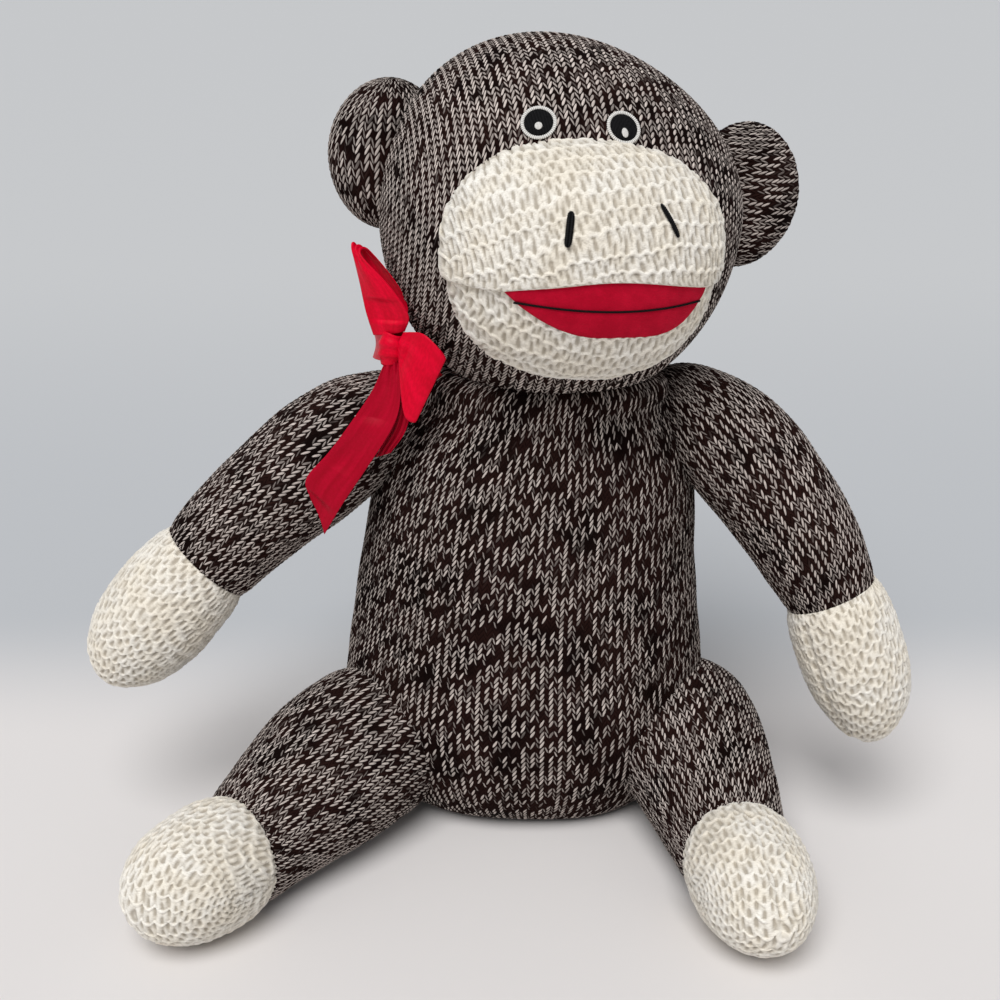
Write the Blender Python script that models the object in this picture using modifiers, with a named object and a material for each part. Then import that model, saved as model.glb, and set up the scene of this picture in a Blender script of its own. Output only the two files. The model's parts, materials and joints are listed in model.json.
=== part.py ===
"""A seated sock monkey doll, about 38 cm tall as it sits.

The doll faces -Y and sits on the plane z = 0, with the middle of its seat at the origin.
Its own right side is at -X. Every knitted cover is an open bag with a wall of its own, and
the stuffing inside it is a separate solid. All sizes are metres.
"""

import math

import bmesh
import bpy
from mathutils import Matrix, Vector

# Fits and walls
SEAM_GAP = 0.0003
FILLING_CLEARANCE = 0.0005
KNIT_WALL = 0.0015
FLOOR_CUT = 0.0005
WELD = 0.00001
OVERRUN = 0.15

# Torso
TORSO_HEIGHT = 0.229
TORSO_HALF_WIDTH = 0.093
TORSO_HALF_DEPTH = 0.062
NECK_OFFSET = 0.008
TORSO_SWAY = 0.003
NECK_DEPTH_SHARE = 0.86
TORSO_OUTLINE_SHARES = (
    (0.00, 0.000),
    (0.35, 0.000),
    (0.62, 0.000),
    (0.78, 0.020),
    (0.90, 0.075),
    (0.97, 0.150),
    (1.00, 0.260),
    (0.98, 0.370),
    (0.945, 0.490),
    (0.90, 0.620),
    (0.86, 0.740),
    (0.79, 0.830),
    (0.69, 0.900),
    (0.59, 0.955),
    (0.48, 1.000),
)
TORSO_SIDES = 28

# Pellet bag inside the seat, put in through a slit under it
PELLET_HALVES = Vector((0.060, 0.040, 0.014))
PELLET_LIFT = 0.004
PELLET_SLIT = 0.012
PELLET_SIDES = 16
PELLET_RINGS = 8

# Head
HEAD_RISE = 0.072
HEAD_PLACE = Vector((0.0135, -0.004, TORSO_HEIGHT + HEAD_RISE))
HEAD_ROLL_DEG = 4
HEAD_YAW_DEG = 7
HEAD_HALF_WIDTH = 0.082
HEAD_HALF_DEPTH = 0.072
HEAD_CROWN = 0.078
HEAD_JAW = 0.088
HEAD_LEAN = 0.010
HEAD_SIDES = 28
HEAD_RINGS = 14

# Muzzle, placed from the middle of the head
MUZZLE_PLACE = Vector((0.0, -0.058, -0.008))
MUZZLE_HALVES = Vector((0.059, 0.042, 0.050))
CHIN_HALVES = Vector((0.056, 0.039, 0.050))
MUZZLE_SIDES = 28
MUZZLE_RINGS = 14
LIP_DROP = 0.0045
LIP_TILT_DEG = -2

# Mouth, a felt lens under the lip line, with a stitched line along it
MOUTH_WIDTH = 0.080
MOUTH_HEIGHT = 0.020
MOUTH_OFFSET = 0.005
MOUTH_LINE_DROP = 0.008
MOUTH_LINE_SHARE = 0.92
FELT_THICKNESS = 0.0012
MOUTH_COLUMNS = 12
MOUTH_ROWS = 3
THREAD_RADIUS = 0.0006
THREAD_POINTS = 9
THREAD_SIDES = 8

# Nostrils: two straight stitches, each from its upper to its lower end, from the muzzle's middle
NOSTRIL_POINTS = 5
NOSTRILS = {
    "right": (Vector((-0.0130, 0, 0.0250)), Vector((-0.0138, 0, 0.0115))),
    "left": (Vector((0.0230, 0, 0.0285)), Vector((0.0305, 0, 0.0165))),
}

# Eyes: a white ring, a black disc and a white glint in three flat layers
EYE_SPACING = 0.0342
EYE_OFFSET = -0.005
EYE_HEIGHT = 0.0475
EYE_LAYERS = (("ring", 0.0068), ("disc", 0.0056), ("glint", 0.0016))
EYE_LAYER_THICKNESS = 0.0006
EYE_SIDES = 20

# Ears
EAR_HALVES = Vector((0.0257, 0.013, 0.0325))
EARS = {
    "right": Vector((-0.0785, 0.006, 0.0215)),
    "left": Vector((0.0850, 0.006, 0.0140)),
}
EAR_SIDES = 16
EAR_RINGS = 9
EAR_SETBACK = 0.006

# Limbs: the rings of a round tip and of the stuffing's round root end
TIP_SHARES = (0.38, 0.66, 0.87, 1.0)
ROUND_END_SHARES = (0.0, 0.13, 0.34, 0.62)

# Arms, each rooted at a share of the torso's half width and a drop below its neck
ARM_LENGTH = 0.2065
ARM_CUFF_SHARE = 0.635
ARM_RADIUS_SHARES = (
    (0.00, 0.00),
    (0.02, 0.36),
    (0.05, 0.56),
    (0.09, 0.71),
    (0.135, 0.84),
    (0.19, 0.94),
    (0.27, 0.99),
    (0.40, 0.97),
    (0.525, 0.92),
    (0.635, 0.85),
    (0.74, 0.95),
)
ARM_SETBACK = 0.047
ARM_PIVOT_SHARE = 0.16
RIGHT_ARM = {
    "root_share": -0.559,
    "root_drop": 0.011,
    "turn_deg": 17,
    "fall_deg": 40,
    "bow": 0.0105,
    "radius": 0.029,
}
LEFT_ARM = {
    "root_share": 0.654,
    "root_drop": 0.0052,
    "turn_deg": 24,
    "fall_deg": 55.8,
    "bow": 0.0225,
    "radius": 0.0275,
}

# Legs, each rooted at shares of the torso's half width and half depth
LEG_LENGTH = 0.188
LEG_CUFF_SHARE = 0.64
LEG_RADIUS_SHARES = (
    (0.00, 0.00),
    (0.02, 0.36),
    (0.06, 0.66),
    (0.11, 0.90),
    (0.17, 1.03),
    (0.25, 1.04),
    (0.37, 0.97),
    (0.47, 0.88),
    (0.56, 0.79),
    (0.64, 0.74),
    (0.745, 0.80),
)
LEG_SETBACK = 0.072
LEG_PIVOT_SHARE = 0.27
RIGHT_LEG = {"root_shares": (-0.637, 0.024), "turn_deg": 53.6, "radius": 0.0381}
LEFT_LEG = {"root_shares": (0.790, 0.398), "turn_deg": 80.5, "radius": 0.0368}
LIMB_SIDES = 14

# Tail, which leaves the back of the seat, comes down to the floor and curls to the doll's left
TAIL_RADIUS = 0.010
TAIL_BEND = 0.043
TAIL_TURN_DEG = 170
TAIL_ROOT = Vector((-0.129 * TORSO_HALF_WIDTH, 0.742 * TORSO_HALF_DEPTH, 0.030))
TAIL_SIDES = 8
TAIL_RINGS = 14
TAIL_DROP_SHARE = 0.40
TAIL_TAPER_SHARE = 0.80
TAIL_SETBACK_SHARE = 0.16
TAIL_PIVOT_SHARE = 0.09

# Ribbon: a band round the neck and a bow on the shoulder. Places are in ribbon widths: the
# knot and the band from the middle of the neck, the bow from the knot.
RIBBON_WIDTH = 0.019
RIBBON_THICKNESS = 0.0005
NECK_MIDDLE = Vector((NECK_OFFSET, 0, TORSO_HEIGHT))
KNOT_SHARES = (-3.674, -2.042, 1.016)
KNOT_HALVES = Vector((0.0065, 0.0055, 0.0085))
KNOT_SIDES = 12
KNOT_RINGS = 8
BAND_ROUTE_SHARES = (
    (-3.905, -1.78, 0.98, 0.30),
    (-4.16, -1.25, 0.84, 0.34),
    (-4.20, -0.45, 0.72, 0.38),
    (-3.62, 0.40, 0.42, 0.32),
    (-2.75, 1.30, 0.10, 0.22),
    (-1.50, 2.08, -0.12, 0.12),
    (0.00, 2.38, -0.13, 0.12),
    (1.50, 2.10, -0.13, 0.12),
    (2.36, 1.18, -0.13, 0.12),
    (2.64, 0.00, -0.13, 0.12),
    (2.36, -1.18, -0.13, 0.12),
    (1.50, -2.10, -0.13, 0.12),
    (0.00, -2.42, -0.13, 0.12),
    (-1.37, -2.32, 0.00, 0.16),
    (-2.40, -2.05, 0.40, 0.26),
    (-3.31, -2.02, 0.94, 0.30),
)
RIBBON_SHARES = {
    "bow_upper_loop": (
        ((-0.20, 0.02, 0.45), (0.08, -0.10, 0.45)),
        ((-0.56, 0.05, 1.05), (0.22, -0.34, 1.10)),
        ((-0.70, 0.14, 1.65), (0.14, -0.30, 1.60)),
        ((-0.68, 0.20, 2.28), (-0.25, -0.06, 2.15)),
        ((-0.52, 0.34, 2.32), (-0.16, 0.20, 2.18)),
        ((-0.50, 0.42, 1.65), (0.00, 0.14, 1.55)),
        ((-0.40, 0.36, 1.05), (-0.02, 0.20, 1.05)),
        ((-0.18, 0.10, 0.435), (0.06, 0.06, 0.44)),
    ),
    "bow_front_loop": (
        ((0.275, -0.17, 0.22), (0.30, -0.185, -0.14)),
        ((0.80, -0.68, 0.46), (0.42, -0.66, -0.70)),
        ((1.20, -0.84, 0.22), (0.48, -0.86, -1.30)),
        ((1.34, -0.80, 0.04), (0.62, -0.84, -1.36)),
        ((1.20, -0.60, 0.10), (0.62, -0.66, -1.20)),
        ((0.84, -0.44, 0.30), (0.56, -0.46, -0.66)),
        ((0.345, -0.06, 0.20), (0.36, -0.07, -0.14)),
    ),
    "ribbon_tail_long": (
        ((-0.14, -0.19, -0.345), (0.14, -0.21, -0.345)),
        ((-0.48, -0.34, -0.96), (0.20, -0.58, -1.12)),
        ((-0.96, -0.47, -1.65), (-0.02, -0.72, -1.78)),
        ((-1.51, -0.53, -2.38), (-0.70, -0.74, -2.84)),
        ((-2.09, -0.53, -3.07), (-1.24, -0.72, -3.66)),
        ((-2.00, -0.56, -3.60), (-1.71, -0.63, -4.46)),
    ),
    "ribbon_tail_short": (
        ((0.11, -0.10, -0.415), (0.25, -0.138, -0.322)),
        ((0.16, -0.34, -1.10), (0.42, -0.44, -1.15)),
        ((0.02, -0.42, -1.75), (0.30, -0.53, -1.85)),
        ((-0.43, -0.40, -2.57), (-0.08, -0.50, -2.43)),
    ),
}
RIBBON_STEPS = 3

# Colours: red, green and blue of each finish, with its roughness
MARLED = (0.16, 0.13, 0.12, 0.95)
CREAM = (0.75, 0.71, 0.64, 0.95)
FIBRE = (0.88, 0.88, 0.86, 1.0)
PELLET = (0.70, 0.72, 0.74, 0.8)
FELT = (0.50, 0.01, 0.02, 0.95)
THREAD = (0.02, 0.02, 0.02, 0.7)
WHITE_THREAD = (0.85, 0.85, 0.83, 0.8)
SATIN = (0.55, 0.01, 0.03, 0.35)


def clear_scene():
    for obj in list(bpy.data.objects):
        bpy.data.objects.remove(obj)


def new_collection(name):
    collection = bpy.data.collections.new(name)
    bpy.context.scene.collection.children.link(collection)
    return collection


def finish_material(name, finish):
    material = bpy.data.materials.new(name)
    material.use_nodes = True
    shader = material.node_tree.nodes["Principled BSDF"]
    shader.inputs["Base Color"].default_value = (*finish[:3], 1)
    shader.inputs["Roughness"].default_value = finish[3]
    shader.inputs["Metallic"].default_value = 0
    material.diffuse_color = (*finish[:3], 1)
    return material


def add_piece(name, mesh, finish):
    """Put a mesh in the doll's collection as one named piece, shaded smooth."""
    mesh.name = name
    mesh.materials.clear()
    mesh.materials.append(finish_material(name, finish))
    mesh.shade_smooth()
    obj = bpy.data.objects.new(name, mesh)
    doll.objects.link(obj)
    return obj


def add_cutter(name, mesh):
    obj = bpy.data.objects.new(name, mesh)
    cutters.objects.link(obj)
    obj.hide_render = True
    obj.display_type = "WIRE"
    return obj


def evaluated_mesh(obj):
    """The object's mesh with its modifiers and place applied; the object itself is removed."""
    depsgraph = bpy.context.evaluated_depsgraph_get()
    mesh = bpy.data.meshes.new_from_object(obj.evaluated_get(depsgraph))
    mesh.transform(obj.matrix_world)
    bpy.data.objects.remove(obj)
    return mesh


def edited(mesh, *steps):
    """Run each step on the mesh as a bmesh and write the result back."""
    bm = bmesh.new()
    bm.from_mesh(mesh)
    for step in steps:
        step(bm)
    bm.to_mesh(mesh)
    bm.free()
    return mesh


def weld(bm):
    bmesh.ops.remove_doubles(bm, verts=bm.verts, dist=WELD)
    bmesh.ops.recalc_face_normals(bm, faces=bm.faces)


def close_holes(bm):
    bmesh.ops.holes_fill(bm, edges=[e for e in bm.edges if e.is_boundary])
    bmesh.ops.recalc_face_normals(bm, faces=bm.faces)


def moved_in(depth):
    """A step that moves every face in by depth, or out where depth is negative."""

    def step(bm):
        bm.normal_update()
        shifts = [v.normal * depth * v.calc_shell_factor() for v in bm.verts]
        for vert, shift in zip(bm.verts, shifts):
            vert.co -= shift
        bm.normal_update()

    return step


def turned_mesh(profile, sides):
    """A closed or open form turned about Z from (radius, height) points, top first."""
    outline = bpy.data.meshes.new("outline")
    points = [(radius, 0, height) for radius, height in profile]
    outline.from_pydata(points, [(i, i + 1) for i in range(len(points) - 1)], [])
    obj = bpy.data.objects.new("outline", outline)
    doll.objects.link(obj)
    screw = obj.modifiers.new("turn", "SCREW")
    screw.steps = screw.render_steps = sides
    screw.use_merge_vertices = True
    screw.merge_threshold = WELD
    bpy.context.view_layer.update()
    return edited(evaluated_mesh(obj), weld)


def resting(radius, sides=LIMB_SIDES):
    """The height of a tube's centre that sinks its lowest side by the floor cut."""
    return radius * math.cos(math.pi / sides) - FLOOR_CUT


def tube_mesh(points, radii, sides=LIMB_SIDES):
    """An open tube along points, with the radius given at each; a radius of 0 closes the end."""
    curve = bpy.data.curves.new("route", "CURVE")
    curve.dimensions = "3D"
    curve.bevel_depth = 1
    curve.bevel_resolution = sides // 2 - 2
    spline = curve.splines.new("POLY")
    spline.points.add(len(points) - 1)
    for spot, place, radius in zip(spline.points, points, radii):
        spot.co = (*place, 1)
        spot.radius = radius
    obj = bpy.data.objects.new("route", curve)
    doll.objects.link(obj)
    bpy.context.view_layer.update()
    return edited(evaluated_mesh(obj), weld)


def walled(obj, wall=KNIT_WALL):
    """Give an open skin its wall, inwards from the surface that was modelled."""
    solidify = obj.modifiers.new("wall", "SOLIDIFY")
    solidify.thickness = wall
    solidify.offset = -1
    solidify.use_even_offset = True
    return obj


def cut(obj, cutter, operation="DIFFERENCE"):
    boolean = obj.modifiers.new("cut", "BOOLEAN")
    boolean.operation = operation
    boolean.solver = "EXACT"
    boolean.object = cutter
    return obj


def hang_on(name, place, pieces):
    """Parent pieces to an empty that stands on their joint's axis, without moving them."""
    pivot = bpy.data.objects.new(name, None)
    doll.objects.link(pivot)
    pivot.location = place
    pivot.matrix_world = Matrix.Translation(place)
    for piece in pieces:
        piece.parent = pivot
        piece.matrix_parent_inverse = Matrix.Translation(-place)


def box_mesh(low, high):
    """A box between two corners."""
    mesh = bpy.data.meshes.new("box")
    bm = bmesh.new()
    bmesh.ops.create_cube(bm, size=1)
    centre, size = (low + high) / 2, high - low
    bmesh.ops.transform(
        bm, matrix=Matrix.Translation(centre) @ Matrix.Diagonal((*size, 1)), verts=bm.verts
    )
    bm.to_mesh(mesh)
    bm.free()
    return mesh


def ellipsoid_mesh(place, halves, sides, rings):
    """An ellipsoid with its poles along Z, turned from half an ellipse."""
    across, deep, tall = halves
    profile = [
        (across * math.sin(math.pi * i / rings), tall * math.cos(math.pi * i / rings))
        for i in range(rings + 1)
    ]
    mesh = turned_mesh(profile, sides)
    mesh.transform(Matrix.Translation(place) @ Matrix.Diagonal((1, deep / across, 1, 1)))
    return mesh


def head_frame():
    turn = Matrix.Rotation(math.radians(HEAD_YAW_DEG), 4, "Z")
    roll = Matrix.Rotation(math.radians(HEAD_ROLL_DEG), 4, "Y")
    return Matrix.Translation(HEAD_PLACE) @ turn @ roll


# Torso

def torso_skin():
    """The torso's outer surface, open at the neck: wider than deep, its neck off to one side."""
    profile = [
        (share * TORSO_HALF_WIDTH, height * TORSO_HEIGHT)
        for share, height in reversed(TORSO_OUTLINE_SHARES)
    ]
    mesh = turned_mesh(profile, TORSO_SIDES)
    depth_share = TORSO_HALF_DEPTH / TORSO_HALF_WIDTH
    for vert in mesh.vertices:
        rise = vert.co.z / TORSO_HEIGHT
        vert.co.y *= depth_share + (NECK_DEPTH_SHARE - depth_share) * rise**2
        vert.co.x += NECK_OFFSET * rise**2 - TORSO_SWAY * math.sin(math.pi * rise)
    return mesh


def make_torso():
    """The torso's cover and stuffing, and the pellet bag that the stuffing holds in the seat."""
    walled(add_piece("torso_cover", torso_skin(), MARLED))
    inner = edited(torso_skin(), moved_in(KNIT_WALL + FILLING_CLEARANCE), close_holes)
    filling = add_piece("torso_filling", inner, FIBRE)
    floor = KNIT_WALL + FILLING_CLEARANCE + PELLET_LIFT + PELLET_HALVES.z
    bag = ellipsoid_mesh(Vector((0, 0, floor)), PELLET_HALVES, PELLET_SIDES, PELLET_RINGS)
    cut(filling, add_cutter("pellet_hollow", edited(bag.copy(), moved_in(-SEAM_GAP))))
    slit = Vector((PELLET_SLIT, PELLET_SLIT, floor)) / 2
    cut(filling, add_cutter("pellet_slit", box_mesh(-slit, slit)))
    add_piece("seat_pellet_bag", bag, PELLET)


# Head

def head_skin():
    """The head's outer surface: its crown rounder than its jaw, with one pole at each."""
    profile = []
    for i in range(HEAD_RINGS + 1):
        angle = math.pi * i / HEAD_RINGS
        tall = HEAD_CROWN if math.cos(angle) > 0 else HEAD_JAW
        profile.append((HEAD_HALF_WIDTH * math.sin(angle), tall * math.cos(angle)))
    mesh = turned_mesh(profile, HEAD_SIDES)
    mesh.transform(Matrix.Diagonal((1, HEAD_HALF_DEPTH / HEAD_HALF_WIDTH, 1, 1)))
    for vert in mesh.vertices:
        vert.co.x -= head_lean(vert.co.z)
    mesh.transform(head_frame())
    return mesh


def head_lean(up):
    """How far the head's axis has bent to the doll's right at a height above its middle."""
    return HEAD_LEAN * (max(0, up) / HEAD_CROWN) ** 2


def on_ellipsoid(halves, across, up, lift):
    """The front point of an ellipsoid at (across, up) from its middle, lifted off its surface."""
    share = max(0, 1 - (across / halves.x) ** 2 - (up / halves.z) ** 2)
    point = Vector((across, -halves.y * math.sqrt(share), up))
    normal = Vector((point.x / halves.x**2, point.y / halves.y**2, point.z / halves.z**2))
    return point + normal.normalized() * lift


def make_head():
    low = Vector((-OVERRUN, -OVERRUN, 0))
    neck = add_cutter(
        "neck_cut", box_mesh(low, Vector((OVERRUN, OVERRUN, TORSO_HEIGHT + SEAM_GAP)))
    )
    cut(walled(add_piece("head_cover", head_skin(), MARLED)), neck)
    inner = edited(head_skin(), moved_in(KNIT_WALL + FILLING_CLEARANCE))
    cut(add_piece("head_filling", inner, FIBRE), neck)


def muzzle_mesh(halves):
    mesh = ellipsoid_mesh(MUZZLE_PLACE, halves, MUZZLE_SIDES, MUZZLE_RINGS)
    mesh.transform(head_frame())
    return mesh


def make_muzzle(head_form):
    """The muzzle's upper cover and its chin, which meet along the lip line, and their stuffing."""
    lip = head_frame() @ Matrix.Translation(MUZZLE_PLACE - Vector((0, 0, LIP_DROP)))
    lip @= Matrix.Rotation(math.radians(LIP_TILT_DEG), 4, "Y")
    above = box_mesh(Vector((-1, -1, 0)) * OVERRUN, Vector((1, 1, 1)) * OVERRUN)
    below = box_mesh(Vector((-1, -1, -1)) * OVERRUN, Vector((1, 1, 0)) * OVERRUN)
    above.transform(lip)
    below.transform(lip @ Matrix.Translation(Vector((0, 0, SEAM_GAP))))
    for name, halves, away in (
        ("muzzle_upper_cover", MUZZLE_HALVES, add_cutter("below_lip", below)),
        ("muzzle_chin_cover", CHIN_HALVES, add_cutter("above_lip", above)),
    ):
        cover = walled(add_piece(name, muzzle_mesh(halves), CREAM))
        cut(cut(cover, head_form), away)
    inner = edited(muzzle_mesh(CHIN_HALVES), moved_in(KNIT_WALL + FILLING_CLEARANCE))
    cut(add_piece("muzzle_filling", inner, FIBRE), head_form)


def mouth_point(across, down, lift):
    """A place on the chin: across the mouth from its middle and down from the lip line."""
    tilt = math.radians(LIP_TILT_DEG)
    x = MOUTH_OFFSET + across
    up = -LIP_DROP - math.tan(tilt) * x - down
    return on_ellipsoid(CHIN_HALVES, x, up, lift) + MUZZLE_PLACE


def mouth_depth(across):
    """How far the felt reaches down from the lip line: a lens, pointed at the corners."""
    return MOUTH_HEIGHT * (1 - (2 * across / MOUTH_WIDTH) ** 2)


def make_mouth():
    bm = bmesh.new()
    bmesh.ops.create_grid(bm, x_segments=MOUTH_COLUMNS, y_segments=MOUTH_ROWS, size=0.5)
    for vert in bm.verts:
        across = vert.co.x * MOUTH_WIDTH
        down = SEAM_GAP * 2 + (0.5 - vert.co.y) * mouth_depth(across)
        vert.co = mouth_point(across, down, SEAM_GAP)
    weld(bm)
    felt = bpy.data.meshes.new("felt")
    bm.to_mesh(felt)
    bm.free()
    felt.transform(head_frame())
    outward(felt)
    piece = walled(add_piece("mouth_felt", felt, FELT), FELT_THICKNESS)
    piece.modifiers["wall"].offset = 1
    lift = FELT_THICKNESS + 2 * SEAM_GAP + THREAD_RADIUS
    line = []
    for i in range(THREAD_POINTS):
        across = (i / (THREAD_POINTS - 1) - 0.5) * MOUTH_WIDTH * MOUTH_LINE_SHARE
        down = min(MOUTH_LINE_DROP, mouth_depth(across) / 2)
        line.append(head_frame() @ mouth_point(across, down, lift))
    add_thread("mouth_line_stitch", line, THREAD)


def outward(mesh):
    """Turn a patch whose faces point back into the head."""
    facing = sum((face.normal.y * face.area for face in mesh.polygons))
    if facing > 0:
        mesh.flip_normals()


def add_thread(name, points, finish):
    """A stitch: a thin round thread along its points, with closed ends."""
    mesh = tube_mesh(points, [THREAD_RADIUS] * len(points), THREAD_SIDES)
    add_piece(name, edited(mesh, close_holes), finish)


def make_nostrils():
    for side, (upper, lower) in NOSTRILS.items():
        points = []
        for i in range(NOSTRIL_POINTS):
            at = upper.lerp(lower, i / (NOSTRIL_POINTS - 1))
            spot = on_ellipsoid(MUZZLE_HALVES, at.x, at.z, SEAM_GAP + THREAD_RADIUS)
            points.append(head_frame() @ (spot + MUZZLE_PLACE))
        add_thread(f"nostril_stitch_{side}", points, THREAD)


def make_eyes():
    halves = Vector((HEAD_HALF_WIDTH, HEAD_HALF_DEPTH, HEAD_CROWN))
    finishes = {"ring": WHITE_THREAD, "disc": THREAD, "glint": WHITE_THREAD}
    for side, sign in (("right", -1), ("left", 1)):
        lean = head_lean(EYE_HEIGHT)
        across = EYE_OFFSET + sign * EYE_SPACING / 2 + lean
        middle = on_ellipsoid(halves, across, EYE_HEIGHT, 0)
        outer = on_ellipsoid(halves, across, EYE_HEIGHT, HEAD_HALF_DEPTH)
        facing = (outer - middle).to_track_quat("Z", "Y").to_matrix().to_4x4()
        middle.x -= lean
        lift = SEAM_GAP
        for layer, radius in EYE_LAYERS:
            disc = disc_mesh(radius, EYE_LAYER_THICKNESS, EYE_SIDES)
            place = Matrix.Translation(middle) @ facing @ Matrix.Translation((0, 0, lift))
            disc.transform(head_frame() @ place)
            add_piece(f"eye_{layer}_{side}", disc, finishes[layer])
            lift += EYE_LAYER_THICKNESS + SEAM_GAP


def disc_mesh(radius, thickness, sides):
    """A flat disc standing on z = 0."""
    mesh = bpy.data.meshes.new("disc")
    bm = bmesh.new()
    bmesh.ops.create_cone(
        bm, cap_ends=True, segments=sides, radius1=radius, radius2=radius, depth=thickness
    )
    bmesh.ops.translate(bm, verts=bm.verts, vec=(0, 0, thickness / 2))
    bm.to_mesh(mesh)
    bm.free()
    return mesh


def make_ear(name, place, head_form, ear_room):
    """A padded ear, cut by the head, whose stuffing stops short of the seam it folds at."""
    cover = ellipsoid_mesh(place, EAR_HALVES, EAR_SIDES, EAR_RINGS)
    cover.transform(head_frame())
    inner = edited(cover.copy(), moved_in(KNIT_WALL + FILLING_CLEARANCE))
    ear = cut(walled(add_piece(f"ear_cover_{name}", cover, MARLED)), head_form)
    filling = cut(add_piece(f"ear_filling_{name}", inner, FIBRE), ear_room)
    hang_on(f"ear_{name}_fold", head_frame() @ ear_fold(place), (ear, filling))


def ear_fold(place):
    """The point on the head's side that an ear's middle folds at."""
    share = 1 - (place.y / HEAD_HALF_DEPTH) ** 2 - (place.z / HEAD_CROWN) ** 2
    across = math.copysign(HEAD_HALF_WIDTH * math.sqrt(share), place.x)
    return Vector((across - head_lean(place.z), place.y, place.z))


# Limbs

def heading(limb, side):
    """The unit direction of a limb from its root, turned towards -Y and falling below level."""
    turn = math.radians(limb["turn_deg"])
    fall = math.radians(limb.get("fall_deg", 0))
    level = Vector((side * math.cos(turn), -math.sin(turn), 0)) * math.cos(fall)
    return level - Vector((0, 0, math.sin(fall)))


def limb_rings(radius, radius_shares, tip_shares):
    """(share of the length, radius) of each ring from the root to the closed tip."""
    rings = [(along, share * radius) for along, share in radius_shares]
    last, full = rings[-1]
    for share in tip_shares:
        rings.append((last + (1 - last) * share, full * math.sqrt(1 - share**2)))
    return rings


def arm_route(arm, side):
    """Ring shares, centre points and radii of an arm, which bows up between root and tip."""
    root = Vector((arm["root_share"] * TORSO_HALF_WIDTH, 0, TORSO_HEIGHT - arm["root_drop"]))
    ahead = heading(arm, side)
    up = (Vector((0, 0, 1)) - ahead * ahead.z).normalized()
    rings = limb_rings(arm["radius"], ARM_RADIUS_SHARES, TIP_SHARES)
    points = [
        root + ahead * ARM_LENGTH * t + up * arm["bow"] * 4 * t * (1 - t)
        for t, _ in rings
    ]
    return [t for t, _ in rings], points, [radius for _, radius in rings]


def leg_route(leg, side):
    """The same of a leg, which lies on the floor from its hip to its toes."""
    across, back = leg["root_shares"]
    root = Vector((across * TORSO_HALF_WIDTH, back * TORSO_HALF_DEPTH, 0))
    ahead = heading(leg, side)
    rings = limb_rings(leg["radius"], LEG_RADIUS_SHARES, TIP_SHARES)
    radii = [radius for _, radius in rings]
    hip, toes = radii.index(max(radii)), len(LEG_RADIUS_SHARES) - 1
    points = []
    for i, (t, _) in enumerate(rings):
        height = resting(radii[min(max(i, hip), toes)])
        points.append(root + ahead * LEG_LENGTH * t + Vector((0, 0, height)))
    return [t for t, _ in rings], points, radii


def kept_behind(place, ahead):
    """A step that cuts an open skin at a plane; rings within the seam gap of it go onto it."""

    def step(bm):
        bmesh.ops.bisect_plane(
            bm,
            geom=[*bm.verts, *bm.edges, *bm.faces],
            dist=SEAM_GAP,
            plane_co=place,
            plane_no=ahead,
            use_snap_center=True,
            clear_outer=True,
        )

    return step


def limb_meshes(route, cuff_share, length, setback):
    """A limb's open sleeve, its closed end, and its stuffing, which has a round end at the root."""
    shares, points, radii = route
    cuff = min(range(len(shares)), key=lambda i: abs(shares[i] - cuff_share))
    before = (points[cuff] - points[cuff - 1]).normalized()
    after = (points[cuff + 1] - points[cuff]).normalized()
    ahead = (before + after).normalized()
    half_gap = ahead * SEAM_GAP / 2
    whole = tube_mesh(points, radii)
    sleeve = edited(whole.copy(), kept_behind(points[cuff] - half_gap, ahead))
    end = edited(whole, kept_behind(points[cuff] + half_gap, -ahead))
    first = setback / length
    kept = next(i for i, t in enumerate(shares) if t > first)
    rounding = radii[kept] / length
    before, after = shares[kept - 1], shares[kept]
    inner_points, inner_radii = [], []
    for share in ROUND_END_SHARES:
        t = first + rounding * share
        i = max(i for i in range(len(shares) - 1) if shares[i] <= t)
        blend = (t - shares[i]) / (shares[i + 1] - shares[i])
        inner_points.append(points[i].lerp(points[i + 1], blend))
        full = radii[i] + (radii[i + 1] - radii[i]) * blend
        inner_radii.append(full * math.sqrt(1 - (1 - share) ** 2))
    for t, point, radius in zip(shares, points, radii):
        if t > first + rounding:
            inner_points.append(point)
            inner_radii.append(radius)
    inner = edited(
        tube_mesh(inner_points, inner_radii), moved_in(KNIT_WALL + FILLING_CLEARANCE)
    )
    return sleeve, end, inner


def point_along(route, share):
    """The centre point of a limb at a share of its length."""
    shares, points, _ = route
    i = max(i for i in range(len(shares) - 1) if shares[i] <= share)
    return points[i].lerp(points[i + 1], (share - shares[i]) / (shares[i + 1] - shares[i]))


def make_arm(name, arm, side, torso_form, head_form):
    route = arm_route(arm, side)
    sleeve, end, inner = limb_meshes(route, ARM_CUFF_SHARE, ARM_LENGTH, ARM_SETBACK)
    cover = cut(walled(add_piece(f"arm_cover_{name}", sleeve, MARLED)), torso_form)
    cut(cover, head_form)
    hand = walled(add_piece(f"hand_cover_{name}", end, CREAM))
    filling = add_piece(f"arm_filling_{name}", inner, FIBRE)
    pivot = point_along(route, ARM_PIVOT_SHARE)
    hang_on(f"shoulder_{name}", pivot, (cover, hand, filling))


def make_leg(name, leg, side, torso_form, floor):
    route = leg_route(leg, side)
    sleeve, end, inner = limb_meshes(route, LEG_CUFF_SHARE, LEG_LENGTH, LEG_SETBACK)
    cover = cut(walled(add_piece(f"leg_cover_{name}", sleeve, MARLED)), torso_form)
    foot = walled(add_piece(f"foot_cover_{name}", end, CREAM))
    for piece in (cover, foot):
        cut(piece, floor)
    filling = add_piece(f"leg_filling_{name}", inner, FIBRE)
    hang_on(f"hip_{name}", point_along(route, LEG_PIVOT_SHARE), (cover, foot, filling))


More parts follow.
